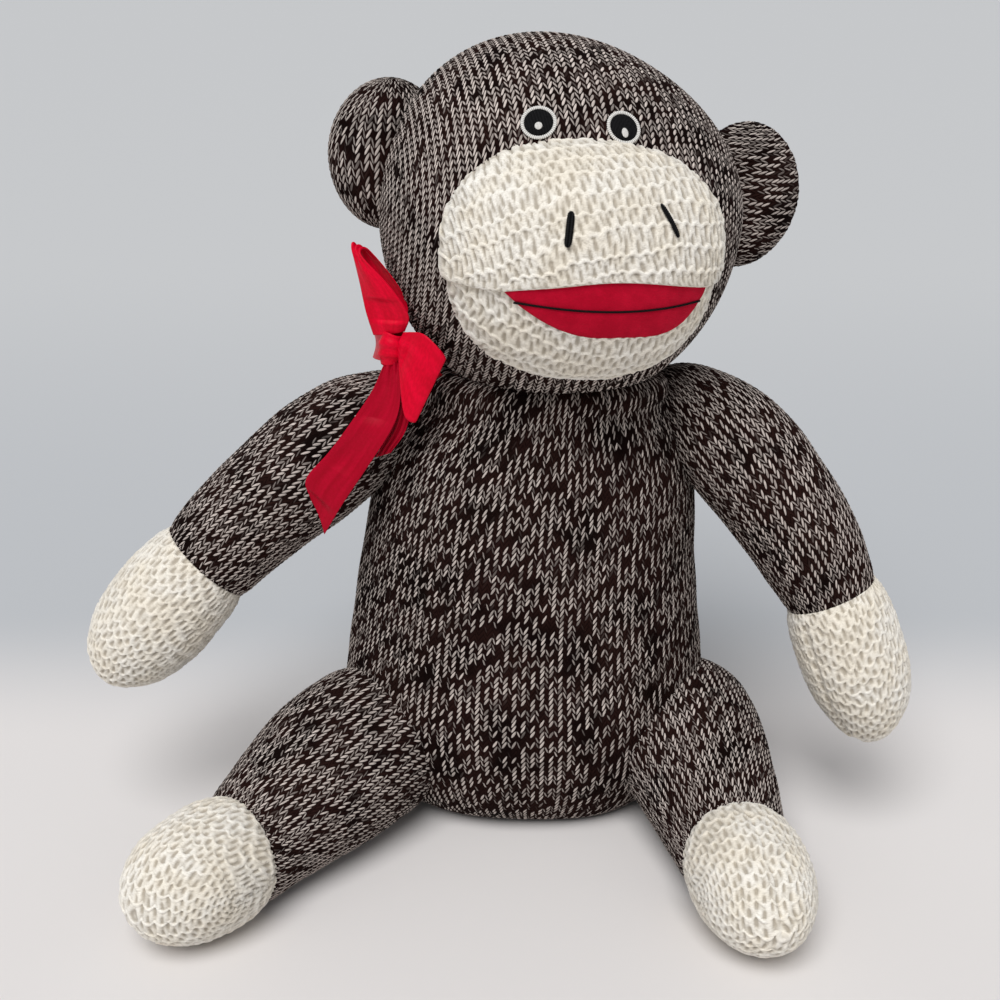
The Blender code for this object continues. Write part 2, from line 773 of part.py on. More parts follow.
def tail_route():
    """The tail's points and radii: an arc on the floor whose root end rises to the seat."""
    shares, points, radii = [], [], []
    for i in range(TAIL_RINGS + 1):
        t = i / TAIL_RINGS
        radius = TAIL_RADIUS * (1 - (1 - TAIL_TAPER_SHARE) * t)
        angle = math.radians(TAIL_TURN_DEG) * t
        drop = min(1, t / TAIL_DROP_SHARE)
        fall = (1 - math.cos(math.pi * drop)) / 2
        height = TAIL_ROOT.z + (resting(radius, TAIL_SIDES) - TAIL_ROOT.z) * fall
        across = TAIL_ROOT.x + TAIL_BEND * (1 - math.cos(angle))
        back = TAIL_ROOT.y + TAIL_BEND * math.sin(angle)
        shares.append(t)
        points.append(Vector((across, back, height)))
        radii.append(radius)
    ahead = (points[-1] - points[-2]).normalized()
    for share in TIP_SHARES:
        shares.append(1 + share)
        points.append(points[TAIL_RINGS] + ahead * radii[TAIL_RINGS] * share)
        radii.append(radii[TAIL_RINGS] * math.sqrt(1 - share**2))
    return shares, points, radii


def make_tail(torso_form, floor):
    shares, points, radii = tail_route()
    skin = tube_mesh(points, radii, TAIL_SIDES)
    start = next(i for i, t in enumerate(shares) if t >= TAIL_SETBACK_SHARE)
    back = (points[start - 1] - points[start]).normalized()
    inner = edited(
        skin.copy(),
        moved_in(KNIT_WALL + FILLING_CLEARANCE),
        kept_behind(points[start], back),
        close_holes,
    )
    cover = cut(cut(walled(add_piece("tail_cover", skin, MARLED)), torso_form), floor)
    filling = add_piece("tail_filling", inner, FIBRE)
    pivot = point_along((shares, points, radii), TAIL_PIVOT_SHARE)
    hang_on("tail_root", pivot, (cover, filling))


# Ribbon

def smoothed(points, steps, closed=False):
    """The points with steps - 1 more between each two, on a curve through them all."""
    count = len(points)
    spans = count if closed else count - 1
    result = []
    for i in range(spans):
        picks = [i - 1, i, i + 1, i + 2]
        if closed:
            a, b, c, d = (points[k % count] for k in picks)
        else:
            a, b, c, d = (points[min(max(k, 0), count - 1)] for k in picks)
        for j in range(steps):
            t = j / steps
            result.append(
                (
                    b * 2
                    + (c - a) * t
                    + (a * 2 - b * 5 + c * 4 - d) * t**2
                    + (b * 3 - a - c * 3 + d) * t**3
                )
                / 2
            )
    return result if closed else [*result, points[-1]]


def strip_mesh(first_edge, second_edge):
    """A ribbon's surface between its two edges."""
    rows = list(zip(first_edge, second_edge))
    mesh = bpy.data.meshes.new("strip")
    bm = bmesh.new()
    pairs = [[bm.verts.new(point) for point in row] for row in rows]
    for (a, b), (c, d) in zip(pairs, pairs[1:]):
        bm.faces.new((a, b, d, c))
    bm.to_mesh(mesh)
    bm.free()
    return mesh


def add_ribbon(name, first_edge, second_edge):
    mesh = strip_mesh(smoothed(first_edge, RIBBON_STEPS), smoothed(second_edge, RIBBON_STEPS))
    piece = walled(add_piece(name, mesh, SATIN), RIBBON_THICKNESS)
    piece.modifiers["wall"].offset = 0
    return piece


def make_ribbon():
    """The neck band, the knot, two loops and two tails, each of its own stretch of ribbon."""
    knot_place = NECK_MIDDLE + Vector(KNOT_SHARES) * RIBBON_WIDTH
    knot = ellipsoid_mesh(knot_place, KNOT_HALVES, KNOT_SIDES, KNOT_RINGS)
    add_piece("bow_knot", knot, SATIN)
    upper, lower = [], []
    for *place, half in BAND_ROUTE_SHARES:
        middle = NECK_MIDDLE + Vector(place) * RIBBON_WIDTH
        rise = Vector((0, 0, half)) * RIBBON_WIDTH
        upper.append(middle + rise)
        lower.append(middle - rise)
    add_ribbon("neck_ribbon_band", upper, lower)
    for name, rows in RIBBON_SHARES.items():
        edges = [
            [knot_place + Vector(point) * RIBBON_WIDTH for point in edge] for edge in zip(*rows)
        ]
        add_ribbon(name, *edges)


clear_scene()
doll = new_collection("sock_monkey_doll")
cutters = new_collection("cutters")
make_torso()
make_head()
head_form = add_cutter("head_form", edited(head_skin(), moved_in(-SEAM_GAP)))
ear_room = add_cutter("ear_room", edited(head_skin(), moved_in(-EAR_SETBACK)))
torso_form = add_cutter(
    "torso_form", edited(torso_skin(), close_holes, moved_in(-SEAM_GAP))
)
floor_low = Vector((-3, -3, -1)) * OVERRUN
floor_high = Vector((3, 3, 0)) * OVERRUN
floor = add_cutter("floor_cut", box_mesh(floor_low, floor_high))
make_muzzle(head_form)
make_mouth()
make_nostrils()
make_eyes()
for ear_side, ear_place in EARS.items():
    make_ear(ear_side, ear_place, head_form, ear_room)
make_arm("right", RIGHT_ARM, -1, torso_form, head_form)
make_arm("left", LEFT_ARM, 1, torso_form, head_form)
make_leg("right", RIGHT_LEG, -1, torso_form, floor)
make_leg("left", LEFT_LEG, 1, torso_form, floor)
make_tail(torso_form, floor)
make_ribbon()
turning = ("head_", "muzzle_", "mouth_", "nostril_", "eye_", "neck_", "bow_")
head_pieces = [piece for piece in doll.objects if piece.name.startswith(turning)]
hang_on("neck_turn", NECK_MIDDLE, head_pieces)
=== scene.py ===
# %% [markdown]
# # A seated sock monkey doll
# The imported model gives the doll's solids, its bodies and its joints. This script keeps that
# frame and dresses it: each knitted cover becomes a stuffed form with its stitches in relief,
# the ribbon becomes satin, the mouth felt and the eyes embroidery.

import json
import math

import bpy
import numpy as np
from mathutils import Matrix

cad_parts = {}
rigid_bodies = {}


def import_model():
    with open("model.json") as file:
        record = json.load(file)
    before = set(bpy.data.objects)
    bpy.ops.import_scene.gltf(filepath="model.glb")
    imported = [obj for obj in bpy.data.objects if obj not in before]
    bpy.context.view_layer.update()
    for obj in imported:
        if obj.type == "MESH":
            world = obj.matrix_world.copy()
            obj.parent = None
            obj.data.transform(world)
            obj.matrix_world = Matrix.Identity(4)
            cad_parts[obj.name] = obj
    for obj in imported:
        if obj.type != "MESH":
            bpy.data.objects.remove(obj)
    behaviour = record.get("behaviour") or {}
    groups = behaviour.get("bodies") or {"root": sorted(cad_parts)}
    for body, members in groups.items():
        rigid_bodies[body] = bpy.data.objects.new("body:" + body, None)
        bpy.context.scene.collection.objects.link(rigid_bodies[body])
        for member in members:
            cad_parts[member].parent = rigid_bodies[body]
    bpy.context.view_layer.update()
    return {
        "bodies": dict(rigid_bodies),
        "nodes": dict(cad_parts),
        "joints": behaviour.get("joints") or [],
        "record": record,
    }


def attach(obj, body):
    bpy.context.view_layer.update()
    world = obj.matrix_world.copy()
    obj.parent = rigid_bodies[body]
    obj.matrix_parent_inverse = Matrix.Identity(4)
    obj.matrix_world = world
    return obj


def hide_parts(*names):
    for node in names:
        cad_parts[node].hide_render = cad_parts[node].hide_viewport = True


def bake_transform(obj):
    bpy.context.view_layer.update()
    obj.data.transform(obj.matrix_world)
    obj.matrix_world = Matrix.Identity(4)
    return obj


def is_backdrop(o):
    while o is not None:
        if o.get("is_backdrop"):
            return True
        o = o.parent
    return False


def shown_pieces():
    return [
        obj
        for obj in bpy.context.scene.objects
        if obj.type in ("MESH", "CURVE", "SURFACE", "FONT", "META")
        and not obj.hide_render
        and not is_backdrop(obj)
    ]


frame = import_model()
print("nodes in the frame:", len(frame["nodes"]))

# %% [markdown]
# ## Camera
# The photograph looks down on the doll from a little above its head. A camera that looks
# along its own -Z axis stands level when it is turned 90 degrees about X, and it looks down
# when it is turned a little less.

# %% Camera
CAMERA_PLACE = (-0.014, -0.6277, 0.4135)
CAMERA_FALL_DEG = 22
CAMERA_ANGLE_DEG = 40
CAMERA_NEAR = 0.02

camera = bpy.data.objects.new("camera", bpy.data.cameras.new("camera"))
bpy.context.scene.collection.objects.link(camera)
camera.location = CAMERA_PLACE
camera.rotation_euler = (math.radians(90 - CAMERA_FALL_DEG), 0, 0)
camera.data.angle = math.radians(CAMERA_ANGLE_DEG)
camera.data.clip_start = CAMERA_NEAR
bpy.context.scene.camera = camera
print("camera at", CAMERA_PLACE)

# %% [markdown]
# ## Light
# Soft daylight from the upper left: a sun lamp with a wide disc gives blurred shadows, and an
# even world fills them. A sun of strength pi and a world of strength 1 would each render a
# colour as it is written. The two shares here add up to a little more than 1, because a
# rounded doll turns most of its surface away from the sun.

# %% Light
bpy.context.scene.view_settings.view_transform = "Standard"
SKY = (0.965, 0.975, 1.0)
SKY_STRENGTH = 0.37
SUN_STRENGTH = 2.45
SUN_ANGLE_DEG = 38
SUN_TURN_DEG = (32, -10, 0)

world = bpy.data.worlds.new("room")
bpy.context.scene.world = world
world.use_nodes = True
world.node_tree.nodes["Background"].inputs["Color"].default_value = (*SKY, 1)
world.node_tree.nodes["Background"].inputs["Strength"].default_value = SKY_STRENGTH
sun = bpy.data.objects.new("window", bpy.data.lights.new("window", "SUN"))
bpy.context.scene.collection.objects.link(sun)
sun.data.energy = SUN_STRENGTH
sun.data.angle = math.radians(SUN_ANGLE_DEG)
sun.rotation_euler = [math.radians(angle) for angle in SUN_TURN_DEG]
print("sun", SUN_STRENGTH, "sky", SKY_STRENGTH)

# %% [markdown]
# ## Node helpers
# A procedural material is a small formula. Each of these helpers adds one node and returns
# its output, so that a formula reads as a few lines.


# %% Node helpers
def calc(tree, operation, *values, clamp=False):
    """Add a Math node for the operation on values, each a number or a socket."""
    node = tree.nodes.new("ShaderNodeMath")
    node.operation = operation
    node.use_clamp = clamp
    for socket, value in zip(node.inputs, values):
        if isinstance(value, bpy.types.NodeSocket):
            tree.links.new(value, socket)
        else:
            socket.default_value = value
    return node.outputs[0]


def blended(tree, share, first, second):
    """Add a Mix node that goes from the first colour to the second as share goes from 0 to 1."""
    node = tree.nodes.new("ShaderNodeMix")
    node.data_type = "RGBA"
    for name, value in (("Factor", share), ("A", first), ("B", second)):
        socket = next(s for s in node.inputs if s.name == name and s.enabled)
        if isinstance(value, bpy.types.NodeSocket):
            tree.links.new(value, socket)
        else:
            socket.default_value = value if name == "Factor" else (*value, 1)
    return next(s for s in node.outputs if s.enabled)


def ranged(tree, value, low, high, to_low=0.0, to_high=1.0):
    """Add a Map Range node that takes value from low..high smoothly to to_low..to_high."""
    node = tree.nodes.new("ShaderNodeMapRange")
    node.interpolation_type = "SMOOTHSTEP"
    tree.links.new(value, node.inputs["Value"])
    for name, number in (
        ("From Min", low),
        ("From Max", high),
        ("To Min", to_low),
        ("To Max", to_high),
    ):
        node.inputs[name].default_value = number
    return node.outputs[0]


print("helpers for one node each: calc, blended, ranged")

# %% [markdown]
# ## Textures and finishes
# A material reads where it is on the piece, either in metres or in counts of stitches from
# the piece's own map, and turns that into a colour and a small bump. A number that is the
# same all over the surface is set on the shader itself, because an export keeps it only
# there.


# %% Textures and finishes
def noise(tree, vector, scale, detail=2.0, roughness=0.5):
    """Add a Noise Texture read at vector."""
    node = tree.nodes.new("ShaderNodeTexNoise")
    node.inputs["Scale"].default_value = scale
    node.inputs["Detail"].default_value = detail
    node.inputs["Roughness"].default_value = roughness
    tree.links.new(vector, node.inputs["Vector"])
    return node.outputs["Fac"]


def point(tree, x, y, z=0.0):
    """Add a Combine XYZ node."""
    node = tree.nodes.new("ShaderNodeCombineXYZ")
    for socket, value in zip(node.inputs, (x, y, z)):
        if isinstance(value, bpy.types.NodeSocket):
            tree.links.new(value, socket)
        else:
            socket.default_value = value
    return node.outputs[0]


def new_finish(name, roughness, sheen=0.0, specular=0.3):
    """A material with its constant values on the shader's own sockets."""
    material = bpy.data.materials.new(name)
    material.use_nodes = True
    shader = material.node_tree.nodes["Principled BSDF"]
    shader.inputs["Roughness"].default_value = roughness
    shader.inputs["Specular IOR Level"].default_value = specular
    shader.inputs["Sheen Weight"].default_value = sheen
    shader.inputs["Sheen Roughness"].default_value = 0.5
    return material, material.node_tree, shader


def bumped(tree, shader, height, distance, strength=1.0):
    """Feed a height through a Bump node into the shader's normal."""
    bump = tree.nodes.new("ShaderNodeBump")
    bump.inputs["Strength"].default_value = strength
    bump.inputs["Distance"].default_value = distance
    tree.links.new(height, bump.inputs["Height"])
    tree.links.new(bump.outputs[0], shader.inputs["Normal"])


def across_and_along(tree, layer):
    """The two values of a piece's own UV map."""
    uv = tree.nodes.new("ShaderNodeUVMap")
    uv.uv_map = layer
    split = tree.nodes.new("ShaderNodeSeparateXYZ")
    tree.links.new(uv.outputs[0], split.inputs[0])
    return split.outputs[0], split.outputs[1]


def placed(tree):
    """The surface point in the doll's own metres."""
    return tree.nodes.new("ShaderNodeTexCoord").outputs["Object"]


def coloured(tree, shader, colour):
    """Feed a colour into the shader."""
    tree.links.new(colour, shader.inputs["Base Color"])


print("helpers for textures and finishes ready")

# %% [markdown]
# ## Floor
# The doll sits on a pale sweep of card that darkens a little behind it and grows paler again
# far off. The whole background of the photograph is this sweep, so one large floor is
# enough: its colour follows Y from the front to the back.

# %% Floor
FLOOR_HALF = 16.0
FLOOR_FRONT = (0.755, 0.728, 0.716)
FLOOR_BACK_SHADE = (0.508, 0.524, 0.545)
FLOOR_FAR = (0.575, 0.585, 0.595)
SWEEP_NEAR = (0.03, 0.20)
SWEEP_FAR = (0.25, 1.3)

floor_mesh = bpy.data.meshes.new("floor")
floor_mesh.from_pydata(
    [(x * FLOOR_HALF, y * FLOOR_HALF, 0) for x, y in ((-1, -1), (1, -1), (1, 1), (-1, 1))],
    [],
    [(0, 1, 2, 3)],
)
floor = bpy.data.objects.new("floor", floor_mesh)
bpy.context.scene.collection.objects.link(floor)
card, tree, shader = new_finish("card sweep", 0.75)
split = tree.nodes.new("ShaderNodeSeparateXYZ")
tree.links.new(placed(tree), split.inputs[0])
sweep = ranged(tree, split.outputs[1], *SWEEP_NEAR)
sweep_far = ranged(tree, split.outputs[1], *SWEEP_FAR)
# painted shade: the floor's colour darkens behind the doll, then grows paler far off
colour = blended(tree, sweep_far, blended(tree, sweep, FLOOR_FRONT, FLOOR_BACK_SHADE), FLOOR_FAR)
coloured(tree, shader, colour)
floor_mesh.materials.append(card)
floor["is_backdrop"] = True
print("floor", 2 * FLOOR_HALF, "m wide")

# %% [markdown]
# ## Curves
# A form of this doll is drawn by a few numbers: how wide it is at some heights, or where a
# line passes. A smooth curve goes through them. A knit has stitches of one size, so a curve
# is then cut into steps of even length, and not of even parameter.


# %% Curves
def smooth(at, keys, values):
    """Values at `at` on a curve through (keys, values).

    Each span is a cubic that has, at both ends, the slope of the parabola through that key
    and its two neighbours.
    """
    at, keys, values = (np.asarray(a, float) for a in (at, keys, values))
    slopes = np.gradient(values, keys, axis=0)
    span = np.clip(np.searchsorted(keys, at, side="right") - 1, 0, len(keys) - 2)
    width = keys[span + 1] - keys[span]
    t = (at - keys[span]) / width
    if values.ndim > 1:
        t, width = t[..., None], width[..., None]
    rise = t * t * (3 - 2 * t)
    start = t * (1 - t) ** 2 * width * slopes[span]
    end = t * t * (t - 1) * width * slopes[span + 1]
    return values[span] + (values[span + 1] - values[span]) * rise + start + end


def even_steps(curve, step):
    """Positions along a polyline, as shares of its point count, that lie `step` apart."""
    lengths = np.linalg.norm(np.diff(curve, axis=0), axis=1)
    distance = np.concatenate([[0], np.cumsum(lengths)])
    count = max(2, round(distance[-1] / step))
    even = np.linspace(0, distance[-1], count + 1)
    return np.interp(even, distance, np.linspace(0, 1, len(curve))), even


print("helpers for curves: smooth, even_steps")

# %% [markdown]
# ## Grids of stitches
# Every cover is a surface worked out on a grid. One direction of the grid is the wales, the
# columns of knit, and the other is the courses, its rows. Relief moves each point out along
# the surface's normal, first by slow lumps, as stuffing gives, and then by the height of
# the stitch that the point is in.

# %% Grids of stitches
ACROSS_WALE = 4
ALONG_COURSE = 3
FLOOR_LEVEL = 0.0002
LUMP_WAVES = 5


def around_wales(count, fine=ACROSS_WALE):
    """Angles of a closed ring with `fine` points to a wale, and its wale counts for UVs."""
    wales = np.arange(count * fine + 1) / fine
    return 2 * np.pi * wales[:-1] / count, wales


def stitch_grid(wales, courses):
    """The UV grid of a piece from its wale counts and its course counts."""
    return np.stack(np.broadcast_arrays(wales[None], courses[:, None]), -1)


def normals(points, closed):
    """Unit normals of a grid: the cross product of its two directions at each point."""
    if closed:
        around = np.roll(points, -1, axis=1) - np.roll(points, 1, axis=1)
    else:
        around = np.gradient(points, axis=1)
    along = np.gradient(points, axis=0)
    normal = np.cross(around, along)
    return normal / np.maximum(np.linalg.norm(normal, axis=-1, keepdims=True), 1e-12)


def raised(points, height, closed=True):
    """Move each point of a grid out along its normal by a height."""
    return points + normals(points, closed) * height[..., None]


def lumps(points, size, depth, seed):
    """Soft unevenness: the mean of a few sine waves through space, each in its own direction."""
    random = np.random.default_rng(seed)
    directions = random.normal(size=(LUMP_WAVES, 3))
    directions /= np.linalg.norm(directions, axis=1, keepdims=True)
    phases = random.uniform(0, 2 * np.pi, LUMP_WAVES)
    waves = np.sin(points @ directions.T * (2 * np.pi / size) + phases)
    return waves.mean(-1) * depth


def rested(points, level=FLOOR_LEVEL):
    """Press what lies below the floor flat onto it."""
    points[..., 2] = np.maximum(points[..., 2], level)
    return points


print(ACROSS_WALE, "points to a wale and", ALONG_COURSE, "to a course")

# %% [markdown]
# ## Grids into meshes
# A mesh takes its points, the corners of its faces and its UV map as flat arrays, which is
# far quicker than a loop over faces. The UV map holds the counts of wales and courses, so a
# material finds the same stitch as the relief does. An end of a tube is closed by a fan of
# triangles onto its middle, and a mesh that came out inside out is turned.


# %% Grids into meshes
def filled_mesh(name, vertices, corners, sizes, uvs):
    """A smooth mesh from flat arrays: places, every face's corners in a row, and face sizes."""
    mesh = bpy.data.meshes.new(name)
    mesh.vertices.add(len(vertices))
    mesh.vertices.foreach_set("co", vertices.astype(np.float32).ravel())
    mesh.loops.add(len(corners))
    mesh.loops.foreach_set("vertex_index", corners.astype(np.int32))
    mesh.polygons.add(len(sizes))
    starts = np.concatenate([[0], np.cumsum(sizes)[:-1]])
    mesh.polygons.foreach_set("loop_start", starts.astype(np.int32))
    layer = mesh.uv_layers.new(name="stitches")
    layer.data.foreach_set("uv", uvs.astype(np.float32).ravel())
    mesh.update(calc_edges=True)
    mesh.shade_smooth()
    return mesh


def signed_volume(mesh):
    """Six times the volume inside a mesh, below 0 where its faces point inwards."""
    mesh.calc_loop_triangles()
    triangles = np.empty(len(mesh.loop_triangles) * 3, np.int32)
    mesh.loop_triangles.foreach_get("vertices", triangles)
    places = np.empty(len(mesh.vertices) * 3, np.float32)
    mesh.vertices.foreach_get("co", places)
    a, b, c = np.moveaxis(places.reshape(-1, 3)[triangles.reshape(-1, 3)], 1, 0)
    return np.einsum("ij,ij->", a, np.cross(b, c))


def surface(
    name, points, stitches, material, closed=True, caps=(True, True), relief=None, looped=False
):
    """A mesh from a grid of points (rows, columns, 3), with its (wale, course) UV map.

    A closed grid joins its last column to its first, and its UV grid has one more column. A
    looped one joins its last row to its first. A cap closes an end row onto its middle.
    """
    rows, columns = points.shape[:2]
    index = np.arange(rows * columns).reshape(rows, columns)
    right = np.roll(index, -1, axis=1) if closed else index[:, 1:]
    left = index if closed else index[:, :-1]
    if looped:
        left, right = np.append(left, left[:1], 0), np.append(right, right[:1], 0)
        caps = (False, False)
    quads = np.stack([left[:-1], right[:-1], right[1:], left[1:]], -1).reshape(-1, 4)
    uv_left, uv_right = stitches[:, :-1], stitches[:, 1:]
    quad_uv = np.stack([uv_left[:-1], uv_right[:-1], uv_right[1:], uv_left[1:]], -2)
    vertices = points.reshape(-1, 3)
    corners, uvs, sizes = [quads.ravel()], [quad_uv.reshape(-1, 2)], [np.full(len(quads), 4)]
    for cap, row, (first, second) in zip(caps, (0, -1), ((right, left), (left, right))):
        if cap:
            pole = np.full(first.shape[1], len(vertices))
            vertices = np.concatenate([vertices, points[row].mean(0, keepdims=True)])
            corners.append(np.stack([pole, first[row], second[row]], -1).ravel())
            ends = (uv_right[row], uv_left[row]) if row == 0 else (uv_left[row], uv_right[row])
            middle = (ends[0] + ends[1]) / 2
            uvs.append(np.stack([middle, *ends], -2).reshape(-1, 2))
            sizes.append(np.full(len(pole), 3))
    corners, uvs, sizes = (np.concatenate(parts) for parts in (corners, uvs, sizes))
    mesh = filled_mesh(name, vertices, corners, sizes, uvs)
    if relief is not None:
        heights = np.full(len(vertices), 0.5, np.float32)
        heights[: rows * columns] = np.broadcast_to(relief, (rows, columns)).ravel()
        attribute = mesh.attributes.new("relief", "FLOAT", "POINT")
        attribute.data.foreach_set("value", heights)
    if closed and signed_volume(mesh) < 0:
        mesh.flip_normals()
    mesh.materials.append(material)
    piece = bpy.data.objects.new(name, mesh)
    bpy.context.scene.collection.objects.link(piece)
    print(f"{name}: {len(sizes)} faces")
    return piece


print("meshes are made from grids by surface")

# %% [markdown]
# ## Dressing the frame
# Each finished piece takes the place of a node of the imported model, which it hides, and
# rides on one of its bodies. A cover that bends at a joint rides on none of them.


# %% Dressing the frame
def dressed(piece, node, body):
    """Let a piece ride on a body in the place of the CAD node it stands for."""
    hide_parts(node)
    if body:
        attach(piece, body)
    return piece


# %% [markdown]
# ## Marled knit: the stitch
# The doll's body is stocking stitch: each stitch is a V of two yarn legs, and the Vs stand in
# columns. The relief and the material share one formula: a place in the V is how far it is
# up its leg, and a course is counted from the V's slant. It could be painted as a picture
# too, but a formula has no seam and no blur however near one looks.

# %% Marled knit: the stitch
WALE = 0.0038
COURSE = 0.0029
V_SLANT = 1.2
V_TURN = 0.42
V_RELIEF = 0.0007


def v_stitches(wales, courses):
    """Height of stocking stitch, from 0 to 1.

    A leg of the V lies between two slanted lines, one course apart. The V turns at a share
    of the wale, so its first leg is the narrower and steeper one. A leg is round across, as
    half a sine, and thins out at its two ends.
    """
    across = wales % 1
    lean = np.minimum(across / V_TURN, (1 - across) / (1 - V_TURN))
    along = (courses + V_SLANT * lean) % 1
    ends = np.sin(np.pi * lean) ** 0.5
    return (0.2 + 0.8 * np.sin(np.pi * along) ** 0.8) * (0.35 + 0.65 * ends)


def leg_of_stitch(tree):
    """The same V as nodes: wales, lean, slanted courses, and the leg's number and side."""
    wales, courses = across_and_along(tree, "stitches")
    across = calc(tree, "FRACT", wales)
    rising = calc(tree, "DIVIDE", across, V_TURN)
    falling = calc(tree, "DIVIDE", calc(tree, "SUBTRACT", 1.0, across), 1 - V_TURN)
    lean = calc(tree, "MINIMUM", rising, falling)
    second_leg = calc(tree, "GREATER_THAN", across, V_TURN)
    slanted = calc(tree, "MULTIPLY_ADD", lean, V_SLANT, courses)
    leg = calc(tree, "MULTIPLY_ADD", calc(tree, "FLOOR", wales), 2.0, second_leg)
    return wales, lean, slanted, leg, second_leg


print("a wale is", WALE * 1000, "mm and a course", COURSE * 1000, "mm")

# %% [markdown]
# ## Marled knit: the two plies
# The yarn is twisted from a dark brown and a cream ply. The two turn round each other along
# the yarn, so cream and brown take turns from leg to leg, and their places drift from
# course to course in loose diagonals. A leg shows a slanting cream streak, a little of one,
# or none.

# %% Marled knit: the two plies
TWIST_PER_LEG = 0.381
TWIST_PER_COURSE = 0.205
TWIST_CHANCE = 0.55
PATCH_SHARE = 0.18
SECOND_LEG_SHARE = 0.27
SHOWN = (0.63, 0.81)
STREAK_SIDES = (0.44, 0.24)
STREAK_ENDS = (0.52, 0.34)
STREAK_TAPER = 1.3


def leg_chances(tree, leg, course):
    """Three random numbers, each the same all over one leg of one stitch."""
    chance = tree.nodes.new("ShaderNodeTexWhiteNoise")
    tree.links.new(point(tree, leg, course, 7.0), chance.inputs["Vector"])
    chances = tree.nodes.new("ShaderNodeSeparateXYZ")
    tree.links.new(chance.outputs["Color"], chances.inputs[0])
    return chances.outputs


def cream_streak(tree, lean, along, second_leg, chances):
    """The cream ply along a leg: its twist takes it from one side of the leg to the other."""
    from_middle = calc(tree, "SUBTRACT", lean, 0.5)
    tilt = calc(tree, "MULTIPLY_ADD", chances[2], 0.5, -0.25)
    drift = calc(tree, "MULTIPLY", from_middle, tilt)
    middle = calc(tree, "ADD", calc(tree, "MULTIPLY_ADD", chances[0], 0.20, 0.40), drift)
    distance = calc(tree, "ABSOLUTE", calc(tree, "SUBTRACT", along, middle))
    taper = calc(tree, "MULTIPLY", calc(tree, "MULTIPLY", from_middle, from_middle), STREAK_TAPER)
    width = calc(tree, "MULTIPLY_ADD", second_leg, 0.08, -0.05)
    reach = calc(tree, "SUBTRACT", calc(tree, "ADD", distance, taper), width)
    ends = ranged(tree, calc(tree, "ABSOLUTE", from_middle), *STREAK_ENDS)
    return calc(tree, "MULTIPLY", ranged(tree, reach, *STREAK_SIDES), ends)


def cream_shown(tree, leg, course, second_leg, chances, patches, painted_coverage):
    """How much of its cream ply a leg shows: its share of the twist, with chance and patches."""
    twist = calc(tree, "MULTIPLY_ADD", course, TWIST_PER_COURSE, 0.5)
    twist = calc(tree, "MULTIPLY_ADD", leg, TWIST_PER_LEG, twist)
    turn = calc(tree, "FRACT", calc(tree, "MULTIPLY_ADD", chances[1], TWIST_CHANCE, twist))
    cover = calc(tree, "ADD", turn, calc(tree, "MULTIPLY", patches, PATCH_SHARE))
    cover = calc(tree, "ADD", cover, calc(tree, "MULTIPLY", second_leg, SECOND_LEG_SHARE))
    # the shifted bounds spread the cream, as painted light on the paler copies
    return ranged(tree, cover, *(bound - painted_coverage for bound in SHOWN))


print("cream shows from a share of", SHOWN[0], "and in full from", SHOWN[1])

# %% [markdown]
# ## Marled knit: the yarn
# Fine fibres break up the streaks, and painted shade makes the hollow between two legs
# nearly black. The head, the limbs and the ears take paler copies of the same knit, which
# show more of their cream ply: painted light, for the light that falls on them more than on the torso.

# %% Marled knit: the yarn
DARK_PLY = (0.0190, 0.0075, 0.0060)
# The darker ply shows in random patches, and also as painted shade in the hollow between two legs.
DARKER_PLY_AND_GAP_SHADE = (0.0050, 0.0020, 0.0017)
CREAM_PLY = (0.86, 0.755, 0.69)
FIBRE_COUNTS = (3.4, 8.0)
PATCH_SCALE = 46.0
YARN_BUMP = 0.0006


def marled_knit(name, painted_lightness=1.0, painted_coverage=0.0):
    """Dark legs with cream streaks. The two numbers scale and spread the cream, as painted light on pieces lit more
    than the torso.
    """
    material, tree, shader = new_finish(name, 0.95, sheen=0.0, specular=0.05)
    wales, lean, slanted, leg, second_leg = leg_of_stitch(tree)
    along, course = calc(tree, "FRACT", slanted), calc(tree, "FLOOR", slanted)
    chances = leg_chances(tree, leg, course)
    counts = (calc(tree, "MULTIPLY", *pair) for pair in zip((wales, slanted), FIBRE_COUNTS))
    fibres = noise(tree, point(tree, *counts), 1.0, 3.0)
    patches = noise(tree, placed(tree), PATCH_SCALE, 2.0, 0.55)
    streak = cream_streak(tree, lean, along, second_leg, chances)
    shown = cream_shown(tree, leg, course, second_leg, chances, patches, painted_coverage)
    strength = calc(tree, "MULTIPLY_ADD", second_leg, 0.17, 0.18)
    strength = calc(tree, "MULTIPLY_ADD", chances[0], 0.28, strength)
    light = calc(tree, "MULTIPLY", streak, calc(tree, "MULTIPLY", shown, strength))
    light = calc(tree, "MULTIPLY", light, ranged(tree, fibres, 0.25, 0.60, 0.55, 1.25))
    # painted light: the paler copies scale up the cream
    light = calc(tree, "MULTIPLY", light, painted_lightness, clamp=True)
    dark = blended(tree, ranged(tree, patches, 0.30, 0.60), DARKER_PLY_AND_GAP_SHADE, DARK_PLY)
    yarn = blended(tree, light, dark, CREAM_PLY)
    hump = calc(tree, "SINE", calc(tree, "MULTIPLY", lean, math.pi))
    loop = calc(tree, "SINE", calc(tree, "MULTIPLY", along, math.pi))
    # painted shade: the hollow between two legs goes to the darker ply
    coloured(tree, shader, blended(tree, ranged(tree, loop, 0.05, 0.50), DARKER_PLY_AND_GAP_SHADE, yarn))
    height = calc(tree, "MULTIPLY", fibres, 0.45)
    height = calc(tree, "MULTIPLY_ADD", calc(tree, "MULTIPLY", hump, loop), 0.7, height)
    bumped(tree, shader, height, YARN_BUMP, 0.7)
    return material


marl = marled_knit("marled knit")
